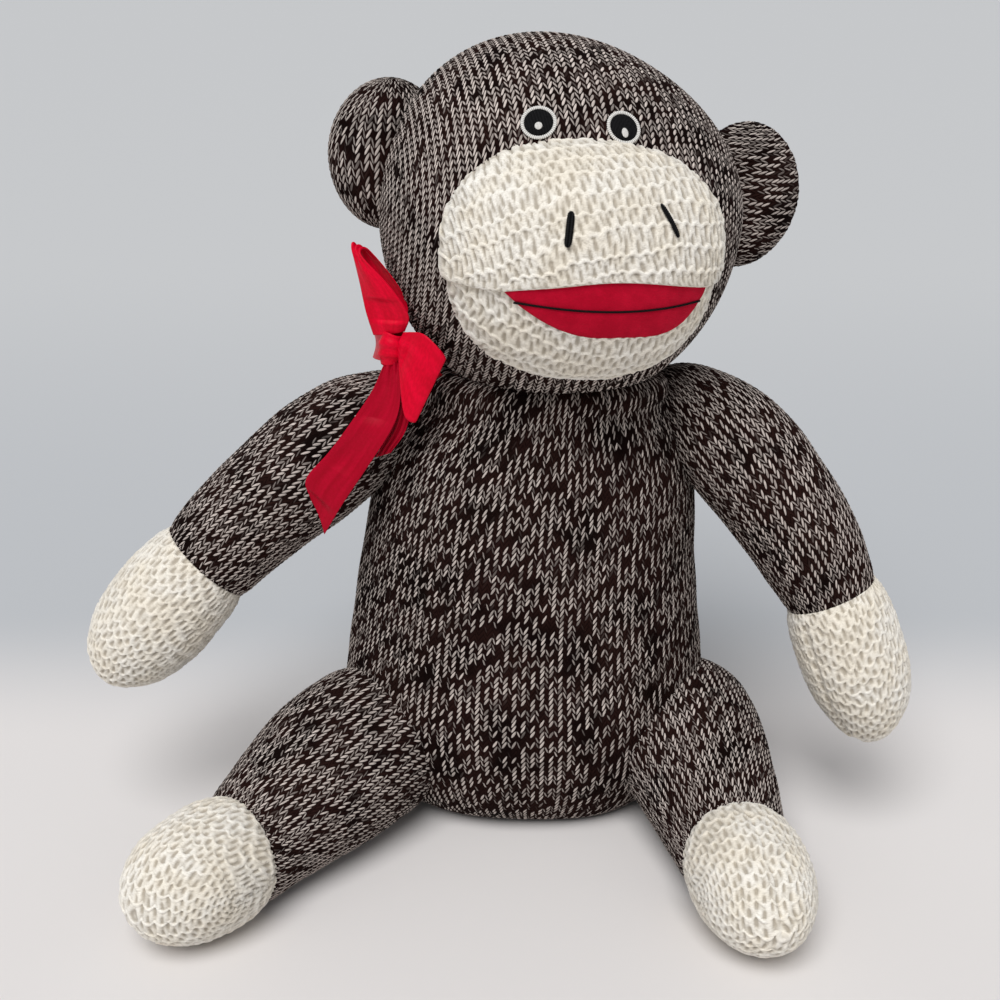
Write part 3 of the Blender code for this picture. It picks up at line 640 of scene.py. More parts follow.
# painted light: paler copies of the same knit for the head, the limbs and the ears, which the light falls on more
head_marl = marled_knit("marled knit of the head", 1.16, 0.24)
limb_marl = marled_knit("marled knit of the limbs", 1.05, 0.13)
ear_marl = marled_knit("marled knit of the ears", 1.05, 0.16)
print("marled knits:", marl.name, head_marl.name, limb_marl.name, ear_marl.name, sep="\n  ")

# %% [markdown]
# ## Torso's form
# The torso is one stuffed tube of knit: wide at the hips, narrow at the neck, flat where it
# sits. Its outline is a smooth curve through a few (radius, height) shares, turned about Z
# and squashed from front to back, more at the seat than at the neck.

# %% Torso's form
TORSO_HEIGHT = 0.229
TORSO_HALF_WIDTH = 0.093
TORSO_HALF_DEPTH = 0.062
NECK_OFFSET = 0.008
TORSO_SWAY = 0.003
NECK_DEPTH_SHARE = 0.86
NECK_FULL = 0.0075
NECK_FULL_TURN = 0.15
NECK_FULL_RISE = 0.985
NECK_FULL_REACH = 0.035
TORSO_OUTLINE = (
    (0.02, 0.000), (0.35, 0.000), (0.58, 0.003), (0.74, 0.022), (0.87, 0.075), (0.95, 0.155),
    (0.985, 0.26), (0.955, 0.37), (0.915, 0.49), (0.875, 0.62), (0.84, 0.74), (0.785, 0.83),
    (0.695, 0.90), (0.60, 0.955), (0.55, 0.985), (0.52, 1.0), (0.48, 1.006), (0.25, 1.005),
    (0.02, 1.005),
)  # fmt: skip


def torso_form(share, angle):
    """The torso's smooth surface: an outline turned about Z, squashed and moved as it rises."""
    outline = smooth(share, np.linspace(0, 1, len(TORSO_OUTLINE)), TORSO_OUTLINE)
    radius, rise = outline[..., 0] * TORSO_HALF_WIDTH, outline[..., 1]
    squash = TORSO_HALF_DEPTH / TORSO_HALF_WIDTH
    squash = squash + (NECK_DEPTH_SHARE - squash) * rise**2
    front = np.clip(0.5 + np.cos(angle - NECK_FULL_TURN), 0, 1) * (outline[..., 0] > 0.4)
    neck = np.exp(-(((rise - NECK_FULL_RISE) / NECK_FULL_REACH) ** 2))
    radius = radius + NECK_FULL * front * neck
    x = radius * np.sin(angle) + NECK_OFFSET * rise**2 - TORSO_SWAY * np.sin(np.pi * rise)
    y = -radius * np.cos(angle) * squash
    return np.stack([x, y, rise * TORSO_HEIGHT + 0 * x], -1)


print("torso", TORSO_HEIGHT * 1000, "mm tall and", TORSO_HALF_WIDTH * 2000, "mm wide")

# %% [markdown]
# ## Torso
# The cover is knitted in the round, so its wales run up from the seat to the neck and all
# have the same number of stitches. Its courses are laid at even distances up the side. What
# bulges below the floor is pressed flat on it, as the seat of a sitting doll is.

# %% Torso
TORSO_WALES = 128


def make_torso():
    """The torso's cover: its form, then the stuffing's lumps, then the stitches."""
    angles, wales = around_wales(TORSO_WALES)
    line = torso_form(np.linspace(0, 1, 1500), 0.5 * np.pi)
    share, distance = even_steps(line, COURSE / ALONG_COURSE)
    courses = distance / COURSE
    points = torso_form(share[:, None], angles[None])
    broad = lumps(points, size=0.085, depth=0.0016, seed=3)
    points = raised(points, broad + lumps(points, size=0.03, depth=0.0004, seed=4))
    points = raised(points, v_stitches(wales[None, :-1], courses[:, None]) * V_RELIEF)
    piece = surface("torso_knit", rested(points), stitch_grid(wales, courses), marl)
    dressed(piece, "torso_cover", "torso")


make_torso()

# %% [markdown]
# ## Loose stuffing
# The covers hold loose white fibre, which nobody sees until a seam opens. It is a little
# thinner than the cover all round, so it never shows through, and in the torso it lies on
# the bag of pellets. Every other piece of stuffing uses the same white.

# %% Loose stuffing
FIBRE_SHARE = 0.90
FIBRE_FLOOR = 0.037
FIBRE_TOP = 0.005


def fibre_material(name, pale, shade, scale):
    """Loose stuffing, or any plain cloth: tufts of two near shades."""
    material, tree, shader = new_finish(name, 0.95, sheen=0.3, specular=0.1)
    tuft = noise(tree, placed(tree), scale, 4.0, 0.65)
    coloured(tree, shader, blended(tree, ranged(tree, tuft, 0.35, 0.65), shade, pale))
    bumped(tree, shader, tuft, 0.001, 0.6)
    return material


fibre = fibre_material("loose fibre", (0.80, 0.80, 0.78), (0.62, 0.62, 0.60), 240.0)


def make_torso_fibre():
    """The torso's stuffing, thinner than its cover all round, on top of the bag of pellets."""
    angles, counts = around_wales(16)
    points = torso_form(np.linspace(0.02, 0.98, 60)[:, None], angles[None])
    points = points * (FIBRE_SHARE, FIBRE_SHARE, 1)
    points[..., 2] = np.clip(points[..., 2], FIBRE_FLOOR, TORSO_HEIGHT - FIBRE_TOP)
    piece = surface("torso_fibre", points, stitch_grid(counts, np.linspace(0, 40, 60)), fibre)
    dressed(piece, "torso_filling", "torso")


make_torso_fibre()

# %% [markdown]
# ## Head's frame
# The head is turned a little to the doll's left and tipped to one side. Everything on it, ears
# and muzzle too, is worked out in a frame of its own, with the head upright, and is taken
# to the doll's frame last.

# %% Head's frame
HEAD_PLACE = (0.0135, -0.004, 0.301)
HEAD_ROLL_DEG = 4
HEAD_YAW_DEG = 7


def turn_matrix(axis, degrees):
    """A rotation matrix about one of the axes."""
    c, s = math.cos(math.radians(degrees)), math.sin(math.radians(degrees))
    kept = "XYZ".index(axis)
    a, b = (kept + 1) % 3, (kept + 2) % 3
    matrix = np.eye(3)
    matrix[a, a] = matrix[b, b] = c
    matrix[a, b], matrix[b, a] = -s, s
    return matrix


HEAD_TURN = turn_matrix("Z", HEAD_YAW_DEG) @ turn_matrix("Y", HEAD_ROLL_DEG)


def on_head(points):
    """Take points from the head's own frame to the doll's."""
    return points @ HEAD_TURN.T + np.array(HEAD_PLACE)


print("the head turns", HEAD_YAW_DEG, "degrees and tips", HEAD_ROLL_DEG)

# %% [markdown]
# ## Head
# The head is a stuffed egg. Its wales run up the face, over the crown and down the back, so
# the grid has its poles at the ears: one angle goes from the right ear to the left, and the
# other goes round the line between them. Stitches are counted by true distance from the
# crown, so they keep their size where the rings get shorter.

# %% Head
HEAD_HALVES = (0.0815, 0.0715, 0.0765)
HEAD_JAW = 0.088
HEAD_LEAN = 0.010
HEAD_WALES = 64
HEAD_ROUND = 560
HEAD_REST = TORSO_HEIGHT + 0.0005


def head_form(side, turn):
    """The head's surface at an angle from ear to ear and one round the ear line, 0 at the crown."""
    width, depth, crown = HEAD_HALVES
    ring = np.cos(side)
    up = np.cos(turn)
    tall = np.where(up > 0, crown, HEAD_JAW)
    z = tall * ring * up
    x = width * np.sin(side) - HEAD_LEAN * (np.maximum(z, 0) / crown) ** 2
    y = -depth * ring * np.sin(turn)
    return np.stack([x, y, z], -1)


def make_head():
    """The head's cover, with its courses counted along each ring from the crown."""
    wales = np.arange(-HEAD_WALES / 2, HEAD_WALES / 2 + 0.001, 1 / ACROSS_WALE)[1:-1]
    side = wales * np.pi / HEAD_WALES
    turn = np.linspace(np.pi, -np.pi, HEAD_ROUND + 1)
    rings = head_form(side[:, None], turn[None])
    steps = np.linalg.norm(np.diff(rings, axis=1), axis=-1)
    distance = np.concatenate([np.zeros((len(side), 1)), np.cumsum(steps, axis=1)], axis=1)
    crown = distance[:, HEAD_ROUND // 2][:, None]
    courses = (distance - crown) / COURSE
    points = on_head(rings[:, :-1])
    points = raised(points, -lumps(points, size=0.09, depth=0.0008, seed=5))
    inward = (normals(points, True) * (points - np.array(HEAD_PLACE))).sum() < 0
    height = v_stitches(wales[:, None] + 0.5, courses[:, :-1]) * V_RELIEF
    points = raised(points, -height if inward else height)
    points = rested(points, HEAD_REST)
    stitches = np.stack([np.broadcast_to(wales[:, None] + 0.5, courses.shape), courses], -1)
    piece = surface("head_knit", points, stitches, head_marl)
    dressed(piece, "head_cover", "head")


make_head()

# %% [markdown]
# ## Cream ridged knit: the stitch
# The muzzle, the hands and the feet are a coarser knit. A row is a waving ridge, with short
# upright columns under it, two to a wave, and gaps between the columns. On the muzzle the
# rows are taller and the waves flatter, because the knit is pulled down over the stuffing.

# %% Cream ridged knit: the stitch
WAVE = 0.0057
ROW = 0.0065
MUZZLE_WAVE = 0.0052
MUZZLE_ROW = 0.0086
RIDGE_RELIEF = 0.0014
ARCH = 0.17
MUZZLE_ARCH = 0.10
STRAND_SIZE = 0.145
GAP_SIZE = 0.115
COLUMN_HEIGHT = 0.52
COLUMN_ROUND = 0.22
TUFT = 0.0048
TUFT_DEPTH = 0.34
GAP_DEPTH = 0.60
CREST_GAP_PLACE = 0.34
TROUGH_GAP_PLACE = 0.62
GAP_REACH = 0.27
BESIDE_RIDGE = (0.16, 0.21)


def ridges(waves, rows, wave_height):
    """Height of the ridged knit, from 0 to 1, at counts of waves along a row and of rows.

    The ridge is a round strand in arches, the size of a cosine. The gap under each crest
    starts at the ridge, and the one over each trough reaches down to the next ridge.
    """
    level = -rows
    arch = wave_height * (1 - 2 * np.abs(np.cos(np.pi * waves)))
    from_ridge = (level - arch + 0.5) % 1 - 0.5
    ridge = np.sqrt(np.clip(1 - (from_ridge / STRAND_SIZE) ** 2, 0, 1))
    down = (level - arch) % 1
    under_crest = np.abs((waves + 0.5) % 1 - 0.5)
    over_trough = np.abs(waves % 1 - 0.5)
    crest_gap = np.exp(
        -((under_crest / GAP_SIZE) ** 2) - ((down - CREST_GAP_PLACE) / GAP_REACH) ** 4
    )
    trough_gap = np.exp(
        -((over_trough / GAP_SIZE) ** 2) - ((down - TROUGH_GAP_PLACE) / GAP_REACH) ** 4
    )
    beside = np.exp(-((from_ridge / BESIDE_RIDGE[1]) ** 4))
    columns = COLUMN_HEIGHT + COLUMN_ROUND * np.abs(np.sin(2 * np.pi * waves))
    columns = columns - BESIDE_RIDGE[0] * beside - GAP_DEPTH * (crest_gap + trough_gap)
    return np.clip(np.maximum(ridge, columns), 0, 1)


print("a wave is", WAVE * 1000, "mm and a row", ROW * 1000, "mm")

# %% [markdown]
# ## Cream ridged knit: the yarn
# The relief of this knit is kept on the mesh as an attribute as well. The material reads it
# there and paints shade into the gaps, the shadow that they hold on the real doll. Slow
# patches and fine fibres keep the cream from being one flat colour.

# %% Cream ridged knit: the yarn
CREAM = (0.93, 0.865, 0.745)
CREAM_PALE = (0.97, 0.935, 0.86)
# A darker tone for the fine fibres, and the painted shade in the hollows of the relief.
CREAM_FIBRE_AND_HOLLOW_SHADE = (0.30, 0.25, 0.185)
HOLLOW_SHADE_RANGE = (0.88, 0.10, 0.0, 0.72)
CREAM_BUMP = 0.0004


def ridged_knit(name):
    """Cream yarn with painted shade in the hollows, soft warm and pale patches, and fine fibres."""
    material, tree, shader = new_finish(name, 0.9, sheen=0.25, specular=0.15)
    relief = tree.nodes.new("ShaderNodeAttribute")
    relief.attribute_name = "relief"
    waves, rows = across_and_along(tree, "stitches")
    patches = noise(tree, placed(tree), 55.0, 3.0, 0.6)
    strands = point(tree, calc(tree, "MULTIPLY", waves, 5.0), calc(tree, "MULTIPLY", rows, 17.0))
    fibres = noise(tree, strands, 1.0, 3.0, 0.6)
    yarn = blended(tree, ranged(tree, patches, 0.36, 0.66), CREAM, CREAM_PALE)
    yarn = blended(tree, ranged(tree, fibres, 0.62, 0.34, 0.0, 0.30), yarn, CREAM_FIBRE_AND_HOLLOW_SHADE)
    # painted shade: where the relief is low, the yarn goes to the shade colour
    depth = ranged(tree, relief.outputs["Fac"], *HOLLOW_SHADE_RANGE)
    coloured(tree, shader, blended(tree, depth, yarn, CREAM_FIBRE_AND_HOLLOW_SHADE))
    bumped(tree, shader, fibres, CREAM_BUMP, 0.6)
    return material


cream = ridged_knit("cream ridged knit")
print("made", cream.name)

# %% [markdown]
# ## Ears
# An ear is a stuffed disc, gathered where it meets the head: a squashed ellipsoid with a
# hollow in its front near the head. Its poles are its top and bottom, and its wales run
# up the doll's right ear and out from the head on its left one.

# %% Ears
EAR_HALVES = (0.0262, 0.0135, 0.0325)
EARS = {"right": (-0.0780, 0.006, 0.0212), "left": (0.0842, 0.006, 0.0115)}
EAR_WALES = 36
EAR_COURSES = 30
EAR_HOLLOW = 0.0075
EAR_HOLLOW_PLACE = -0.28
EAR_HOLLOW_HALVES = (0.34, 0.62)
EAR_WALL = 0.003
OUTWARD_WALES = 0.95


def ear_form(side, sign, rise, angles, inset=0.0):
    """An ellipsoid with its poles up and down. Angle 0 faces forwards, where a bell dents it."""
    width, depth, height = (half - inset for half in EAR_HALVES)
    ring = np.cos(rise)[:, None]
    x = width * ring * np.sin(angles)[None]
    y = -depth * ring * np.cos(angles)[None]
    z = np.broadcast_to(height * np.sin(rise)[:, None], x.shape)
    outward = sign * x / width
    beside = (outward - EAR_HOLLOW_PLACE) / EAR_HOLLOW_HALVES[0]
    hollow = np.exp(-(beside**2) - (z / height / EAR_HOLLOW_HALVES[1]) ** 2)
    front = np.clip(-y / depth, 0, 1)
    y = y + EAR_HOLLOW * hollow * front
    return on_head(np.stack([x, y, z], -1) + np.array(EARS[side]))


def make_ear(side, sign):
    """An ear's cover and its stuffing. The cover rides on no body, and the stuffing on the ear's own."""
    width = EAR_HALVES[0]
    angles, wales = around_wales(EAR_WALES)
    rise = np.linspace(-0.495 * np.pi, 0.495 * np.pi, EAR_COURSES * ALONG_COURSE + 1)
    ring = np.cos(rise)[:, None]
    points = ear_form(side, sign, rise, angles)
    points = raised(points, lumps(points, size=0.05, depth=0.0007, seed=11 + sign))
    courses = (rise / np.pi + 0.5) * EAR_COURSES
    if sign > 0:
        # Wales run out from the head, so the two counts change places. Front and back
        # mirror each other about the rim.
        across = (courses[:, None] + 0 * wales[None]) * OUTWARD_WALES
        along = width * np.sin(2 * np.pi * wales / EAR_WALES)[None] * ring / COURSE
        stitches = np.stack(np.broadcast_arrays(across, along), -1)
    else:
        stitches = stitch_grid(wales, courses)
    height_map = v_stitches(stitches[:, :-1, 0], stitches[:, :-1, 1])
    points = raised(points, height_map * V_RELIEF)
    piece = surface(f"ear_knit_{side}", points, stitches, ear_marl)
    dressed(piece, f"ear_cover_{side}", None)
    few = np.linspace(0, 2 * np.pi, 33)
    inside = ear_form(side, sign, rise[::4], few[:-1], EAR_WALL)
    fill = surface(f"ear_fibre_{side}", inside, stitch_grid(few, rise[::4]), fibre)
    dressed(fill, f"ear_filling_{side}", f"ear_{side}")
    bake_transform(piece)


make_ear("right", -1)
make_ear("left", 1)

# %% [markdown]
# ## Tubes
# An arm, a leg and the tail are tubes along a bent line, with the end of each rounded like
# half an ellipsoid. A tube is rings round a line of centres, each square to the line, so it
# may bend anywhere and keeps its thickness.


# %% Tubes
TIP_ROUND = 2.0


def limb_radius(share, radii, size):
    """Radius along a limb: a smooth curve, then a rounded tip."""
    keys, values = np.array(radii).T
    last = keys[-1]
    body = smooth(np.minimum(share, last), keys, values)
    tip = np.clip((share - last) / (1 - last), 0, 1)
    return size * body * (1 - tip**TIP_ROUND) ** (1 / TIP_ROUND)


def tube(centres, radius, side, angles):
    """Rings round a line of centres. Angle 0 is away from the floor, a quarter turn sideways."""
    along = np.gradient(centres, axis=0)
    along /= np.linalg.norm(along, axis=1, keepdims=True)
    side = np.broadcast_to(np.asarray(side, float), along.shape)
    side = side - (side * along).sum(-1, keepdims=True) * along
    side = side / np.linalg.norm(side, axis=1, keepdims=True)
    up = np.cross(side, along)
    up *= np.sign(up[:, 2:].mean())
    cosines, sines = np.cos(angles)[None, :, None], np.sin(angles)[None, :, None]
    ring = cosines * up[:, None] + sines * side[:, None]
    return centres[:, None] + radius[:, None, None] * ring


def level_and_up(turn_deg, fall_deg, sign):
    """A limb's direction, its level side, and the way that it bows: up, square to both."""
    turn, fall = math.radians(turn_deg), math.radians(fall_deg)
    level = np.array([sign * math.cos(turn), -math.sin(turn), 0])
    ahead = level * math.cos(fall) - np.array([0, 0, math.sin(fall)])
    side = np.cross(level, (0, 0, 1))
    up = np.array([0, 0, 1]) - ahead * ahead[2]
    return ahead, side, up / np.linalg.norm(up)


print("tubes follow a line of centres")

# %% [markdown]
# ## Knit folded over an end
# A hand or a foot is a flat bag of cream knit, sewn round, so its rows run over the tip and
# back along the other side. Rows that went round the tube like hoops would shrink to
# nothing at the tip. Hands guide such cloth unevenly, so bumps and rows wander a little
# too.


# %% Knit folded over an end
def folded_end(to_tip, angles, radius):
    """Bump and row counts of a hand or foot, whose knit is folded over its end.

    Near the tip a point is taken as on a sphere: its rows follow the turn from the top over
    the tip to the underside, and its bumps the angle to the side. On the sleeve the rows go
    on along the top, and back along the underside.
    """
    polar = np.clip(to_tip / radius, 0, np.pi / 2)[:, None]
    lateral = np.arcsin(np.clip(np.sin(polar) * np.sin(angles)[None], -1, 1))
    top = np.where(np.cos(angles)[None] >= 0, 1, -1)
    turn = np.arctan2(np.cos(polar), np.sin(polar) * np.cos(angles)[None]) - np.pi / 2
    beyond = np.maximum(to_tip / radius - np.pi / 2, 0)[:, None]
    rows = radius * (turn * np.sqrt(np.cos(lateral) + 0.02) - beyond * top) / ROW
    return np.stack([radius * lateral / WAVE, rows], -1)


def wobble(points, seed):
    """Small wandering of bumps and rows, as hand-guided cloth has."""
    across = lumps(points, size=0.016, depth=0.32, seed=seed)
    return np.stack([across, lumps(points, size=0.019, depth=0.30, seed=seed + 9)], -1)


print("a hand's rows run over its tip")

# %% [markdown]
# ## Knit on a limb
# The knit changes at the cuff: the sleeve is marled, and the hand or foot is cream. Each
# cover is closed in itself, and their ends meet in a shallow seam. Both go through one
# function. A hand or foot may have the sewn seam of its bag too, a fine groove along one
# side.

# %% Knit on a limb
CREAM_ACROSS_WAVE = 8
CREAM_ALONG_ROW = 11
CUFF_DIP = 0.0012
CUFF_REACH = 0.0035
SEAM_DIP = 0.0013
SEAM_REACH = 0.0017
SEAM_FROM_CUFF = 0.006
LIMB_END = 0.9995
RELIEF_MIDDLE = 0.55


def limb_steps(line, limits, radii, size, pitch, steps_per_pitch):
    """Shares of a limb's length that cut its surface into even steps, and their distances."""
    shares = np.linspace(*limits, 3000)
    axis = np.linalg.norm(np.diff(line(shares), axis=0), axis=1)
    lengths = np.concatenate([[0], np.cumsum(axis)])
    profile = np.stack([lengths, limb_radius(shares, radii, size)], -1)
    share, distance = even_steps(profile, pitch / steps_per_pitch)
    return limits[0] + share * (limits[1] - limits[0]), distance


def sewn_groove(angles, seam, radius, to_cuff):
    """Depth of the seam along one side of a hand or foot; it stops short of the cuff."""
    away = np.abs((angles - seam + np.pi) % (2 * np.pi) - np.pi)[None] * radius[:, None]
    return SEAM_DIP * np.exp(-((away / SEAM_REACH) ** 2)) * (to_cuff > SEAM_FROM_CUFF)[:, None]


def knit_limb(
    name, line, limits, size, radii, side, wales_round, kind, seed, seam=None, face=0.0
):
    """One cover of a limb between two shares of its length, in marled or in cream knit.

    seam and face are angles round the limb: where the sewn seam is, and the middle of the
    side over which the cream knit lies flat.
    """
    pitch = COURSE if kind == "marl" else ROW
    steps_per_pitch = ALONG_COURSE if kind == "marl" else CREAM_ALONG_ROW
    share, distance = limb_steps(line, limits, radii, size, pitch, steps_per_pitch)
    rows = distance / pitch
    angles, counts = around_wales(wales_round, ACROSS_WALE if kind == "marl" else CREAM_ACROSS_WAVE)
    cuff = limits[1] if kind == "marl" else limits[0]
    centres = line(share)
    to_cuff = np.abs(share - cuff) / (limits[1] - limits[0]) * distance[-1]
    radius = limb_radius(share, radii, size) - CUFF_DIP * np.exp(-((to_cuff / CUFF_REACH) ** 2))
    points = tube(centres, radius, side, angles)
    broad = lumps(points, size=0.06, depth=0.0011, seed=seed)
    points = raised(points, broad + lumps(points, size=0.022, depth=0.0004, seed=seed + 1))
    outward = (normals(points, True) * (points - centres[:, None])).sum(-1).mean()
    facing = 1 if outward > 0 else -1
    if seam is not None:
        points = raised(points, -facing * sewn_groove(angles, seam, radius, to_cuff))
    if kind == "marl":
        relief = v_stitches(counts[None, :-1], rows[:, None])
        points = raised(points, facing * relief * V_RELIEF)
        return surface(name, rested(points), stitch_grid(counts, rows), limb_marl)
    round_angles = np.append(angles, 2 * np.pi) - face
    stitches = folded_end(distance[-1] - distance, round_angles, radius.max())
    stitches = stitches + wobble(np.concatenate([points, points[:, :1]], 1), seed)
    relief = ridges(stitches[:, :-1, 0], stitches[:, :-1, 1], ARCH)
    relief = np.clip(relief + lumps(points, TUFT, TUFT_DEPTH, seed + 17), 0, 1)
    points = raised(points, facing * (relief - RELIEF_MIDDLE) * RIDGE_RELIEF)
    return surface(name, rested(points), stitches, cream, relief=relief)


print(CREAM_ACROSS_WAVE, "points to a wave and", CREAM_ALONG_ROW, "to a row of cream knit")

# %% [markdown]
# ## Stuffing of a limb
# The stuffing of a limb begins a little past its seam, where the cover folds as the limb
# swings. It is thinner than the covers and stays rigid.

# %% Stuffing of a limb
LIMB_FIBRE_GAP = 0.0012
LIMB_FIBRE_END = 0.985
LIMB_FIBRE_FLOOR = 0.003


def limb_fibre(name, line, start, size, radii, side):
    """A limb's stuffing, from past its seam to its tip, a little thinner than the covers."""
    share = np.linspace(start, LIMB_FIBRE_END, 60)
    angles, counts = around_wales(12)
    radius = limb_radius(share, radii, size) * FIBRE_SHARE - LIMB_FIBRE_GAP
    points = rested(tube(line(share), radius, side, angles), LIMB_FIBRE_FLOOR)
    piece = surface(f"{name}_fibre", points, stitch_grid(counts, share * 40), fibre)
    part, which = name.split("_")
    dressed(piece, f"{part}_filling_{which}", name)


print("stuffing of a limb ends at", LIMB_FIBRE_END, "of its length")

# %% [markdown]
# ## Arms
# An arm falls in one upright plane and bows up a little. Its radii are shares of the arm's
# own size, from the shoulder, where the cover is sewn flat, to the hand. The sleeve rides on
# no body; the hand and the stuffing ride on the arm's.

# %% Arms
ARM_LENGTH = 0.2065
ARM_CUFF = 0.635
ARM_RADII = (
    (0.00, 0.20), (0.02, 0.38), (0.05, 0.56), (0.09, 0.71), (0.135, 0.84), (0.19, 0.94),
    (0.27, 0.99), (0.40, 0.95), (0.525, 0.885), (0.635, 0.82), (0.70, 0.90), (0.78, 0.92),
)  # fmt: skip
ARM_WALES = 46
HAND_BUMPS = 28
ARM_FIBRE_START = 0.38
ARM_BENDS = (0.07, 0.34)


def make_arm(name, sign, root, turn_deg, fall_deg, bow, size, seam, face):
    """An arm's sleeve, hand and stuffing, from its root at the shoulder."""
    ahead, side, up = level_and_up(turn_deg, fall_deg, sign)
    root = np.array(root)

    def line(share):
        t = np.asarray(share, float)[:, None]
        return root + ahead * ARM_LENGTH * t + up * bow * 4 * t * (1 - t)

    sleeve = knit_limb(
        f"arm_knit_{name}", line, (0.0, ARM_CUFF), size, ARM_RADII, side, ARM_WALES, "marl",
        seed=21 + sign,
    )  # fmt: skip
    hand = knit_limb(
        f"hand_knit_{name}", line, (ARM_CUFF, LIMB_END), size, ARM_RADII, side, HAND_BUMPS, "cream",
        seed=25 + sign, seam=seam, face=face,
    )  # fmt: skip
    dressed(sleeve, f"arm_cover_{name}", None)
    dressed(hand, f"hand_cover_{name}", f"arm_{name}")
    limb_fibre(f"arm_{name}", line, ARM_FIBRE_START, size, ARM_RADII, side)
    start, end = line(ARM_BENDS)
    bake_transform(sleeve)


make_arm(
    "right", -1, (-0.0520, 0, 0.218), turn_deg=17, fall_deg=40, bow=0.0105, size=0.029,
    seam=None, face=-0.9,
)  # fmt: skip
make_arm(
    "left", 1, (0.0608, 0, 0.2238), turn_deg=24, fall_deg=55.8, bow=0.0225, size=0.0275,
    seam=2.05, face=1.2,
)  # fmt: skip

# %% [markdown]
# ## Legs
# A leg lies level on the floor, straight, with its middle as high as it is thick. Its toes
# point up a little, since the foot is as thick as the shin there. Both legs are wider than
# the arms and turn outwards, the left one further.

# %% Legs
LEG_LENGTH = 0.188
LEG_CUFF = 0.685
LEG_RADII = (
    (0.00, 0.30), (0.02, 0.40), (0.06, 0.66), (0.11, 0.90), (0.17, 1.03), (0.25, 1.04),
    (0.37, 0.98), (0.47, 0.89), (0.57, 0.79), (0.685, 0.70), (0.73, 0.75), (0.785, 0.765),
)  # fmt: skip
LEG_WALES = 62
FOOT_BUMPS = 34
LEG_FIBRE_START = 0.48
LEG_BENDS = (0.13, 0.46)
HIP_SHARE = 0.25
LEG_SINK = 0.0012


def make_leg(name, sign, root, turn_deg, size, seam):
    """A leg's sleeve, foot and stuffing. Up to the hip its middle stays at one height."""
    ahead, side, _ = level_and_up(turn_deg, 0, sign)
    root = np.array([*root, 0.0])
    toes = LEG_RADII[-1][0]

    def line(share):
        t = np.asarray(share, float)
        height = limb_radius(np.clip(t, HIP_SHARE, toes), LEG_RADII, size) - LEG_SINK
        return root + ahead * LEG_LENGTH * t[:, None] + height[:, None] * np.array([0, 0, 1])

    sleeve = knit_limb(
        f"leg_knit_{name}", line, (0.0, LEG_CUFF), size, LEG_RADII, side, LEG_WALES, "marl",
        seed=31 + sign,
    )  # fmt: skip
    foot = knit_limb(
        f"foot_knit_{name}", line, (LEG_CUFF, LIMB_END), size, LEG_RADII, side, FOOT_BUMPS, "cream",
        seed=35 + sign, seam=seam,
    )  # fmt: skip
    dressed(sleeve, f"leg_cover_{name}", None)
    dressed(foot, f"foot_cover_{name}", f"leg_{name}")
    limb_fibre(f"leg_{name}", line, LEG_FIBRE_START, size, LEG_RADII, side)
    start, end = line(LEG_BENDS)
    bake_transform(sleeve)


make_leg("right", -1, (-0.0592, 0.0015), turn_deg=53.6, size=0.0381, seam=None)
make_leg("left", 1, (0.0735, 0.0247), turn_deg=80.5, size=0.0368, seam=0.0)

# %% [markdown]
# ## Tail
# A thin stuffed tube of marled knit leaves the back of the seat, comes down to the floor and
# curls there. The photograph can't show it, so it is a plain guess from dolls of this kind,
# and follows the solid model's line. Its curl is an arc of one radius.

# %% The doll sits on a pale sweep of card. Its colour darkens a little behind the doll, as painted
# shade for where the card rises and the light meets it at a low angle, and grows paler again
# far off. The whole background behind the doll is this sweep, so one large floor is enough:
# its colour follows Y from the front to the back.
TAIL_RADIUS = 0.0102
TAIL_TAPER = 0.80
TAIL_BEND = 0.043
TAIL_TURN_DEG = 170
TAIL_ROOT = (-0.012, 0.046, 0.030)
TAIL_DROP = 0.40
TAIL_LINE_SHARE = 0.94
TAIL_SINK = 0.0003
TAIL_WALES = 16
TAIL_END = 0.9995


def tail_radius(share):
    """Radius along the tail: an even taper, then a tip like half an ellipsoid."""
    t = np.asarray(share, float) / TAIL_LINE_SHARE
    body = TAIL_RADIUS * (1 - (1 - TAIL_TAPER) * np.minimum(t, 1))
    tip = np.clip((share - TAIL_LINE_SHARE) / (1 - TAIL_LINE_SHARE), 0, 1)
    return body * np.sqrt(1 - tip**2)


def tail_line(share):
    """An arc on the floor whose root end rises to the seat, and which goes on straight."""
    t = np.asarray(share, float) / TAIL_LINE_SHARE
    end = math.radians(TAIL_TURN_DEG)
    angle = end * np.minimum(t, 1)
    fall = (1 - np.cos(np.pi * np.clip(t / TAIL_DROP, 0, 1))) / 2
    low = tail_radius(np.minimum(share, TAIL_LINE_SHARE)) - TAIL_SINK
    z = TAIL_ROOT[2] + (low - TAIL_ROOT[2]) * fall
    x = TAIL_ROOT[0] + TAIL_BEND * (1 - np.cos(angle))
    y = TAIL_ROOT[1] + TAIL_BEND * np.sin(angle)
    past = np.maximum(t - 1, 0) * TAIL_BEND * end
    return np.stack([x + past * math.sin(end), y + past * math.cos(end), z], -1)


def make_tail():
    """The tail's cover, which rides on no body."""
    shares = np.linspace(0, TAIL_END, 1500)
    share, distance = even_steps(tail_line(shares), COURSE / ALONG_COURSE)
    share = share * TAIL_END
    angles, wales = around_wales(TAIL_WALES)
    points = tube(tail_line(share), tail_radius(share), (0, 0, 1), angles)
    outward = (normals(points, True) * (points - tail_line(share)[:, None])).sum(-1).mean()
    relief = v_stitches(wales[None, :-1], distance[:, None] / COURSE)
    points = raised(points, relief * V_RELIEF * (1 if outward > 0 else -1))
    piece = surface("tail_knit", rested(points), stitch_grid(wales, distance / COURSE), marl)
    dressed(piece, "tail_cover", None)
    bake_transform(piece)


make_tail()

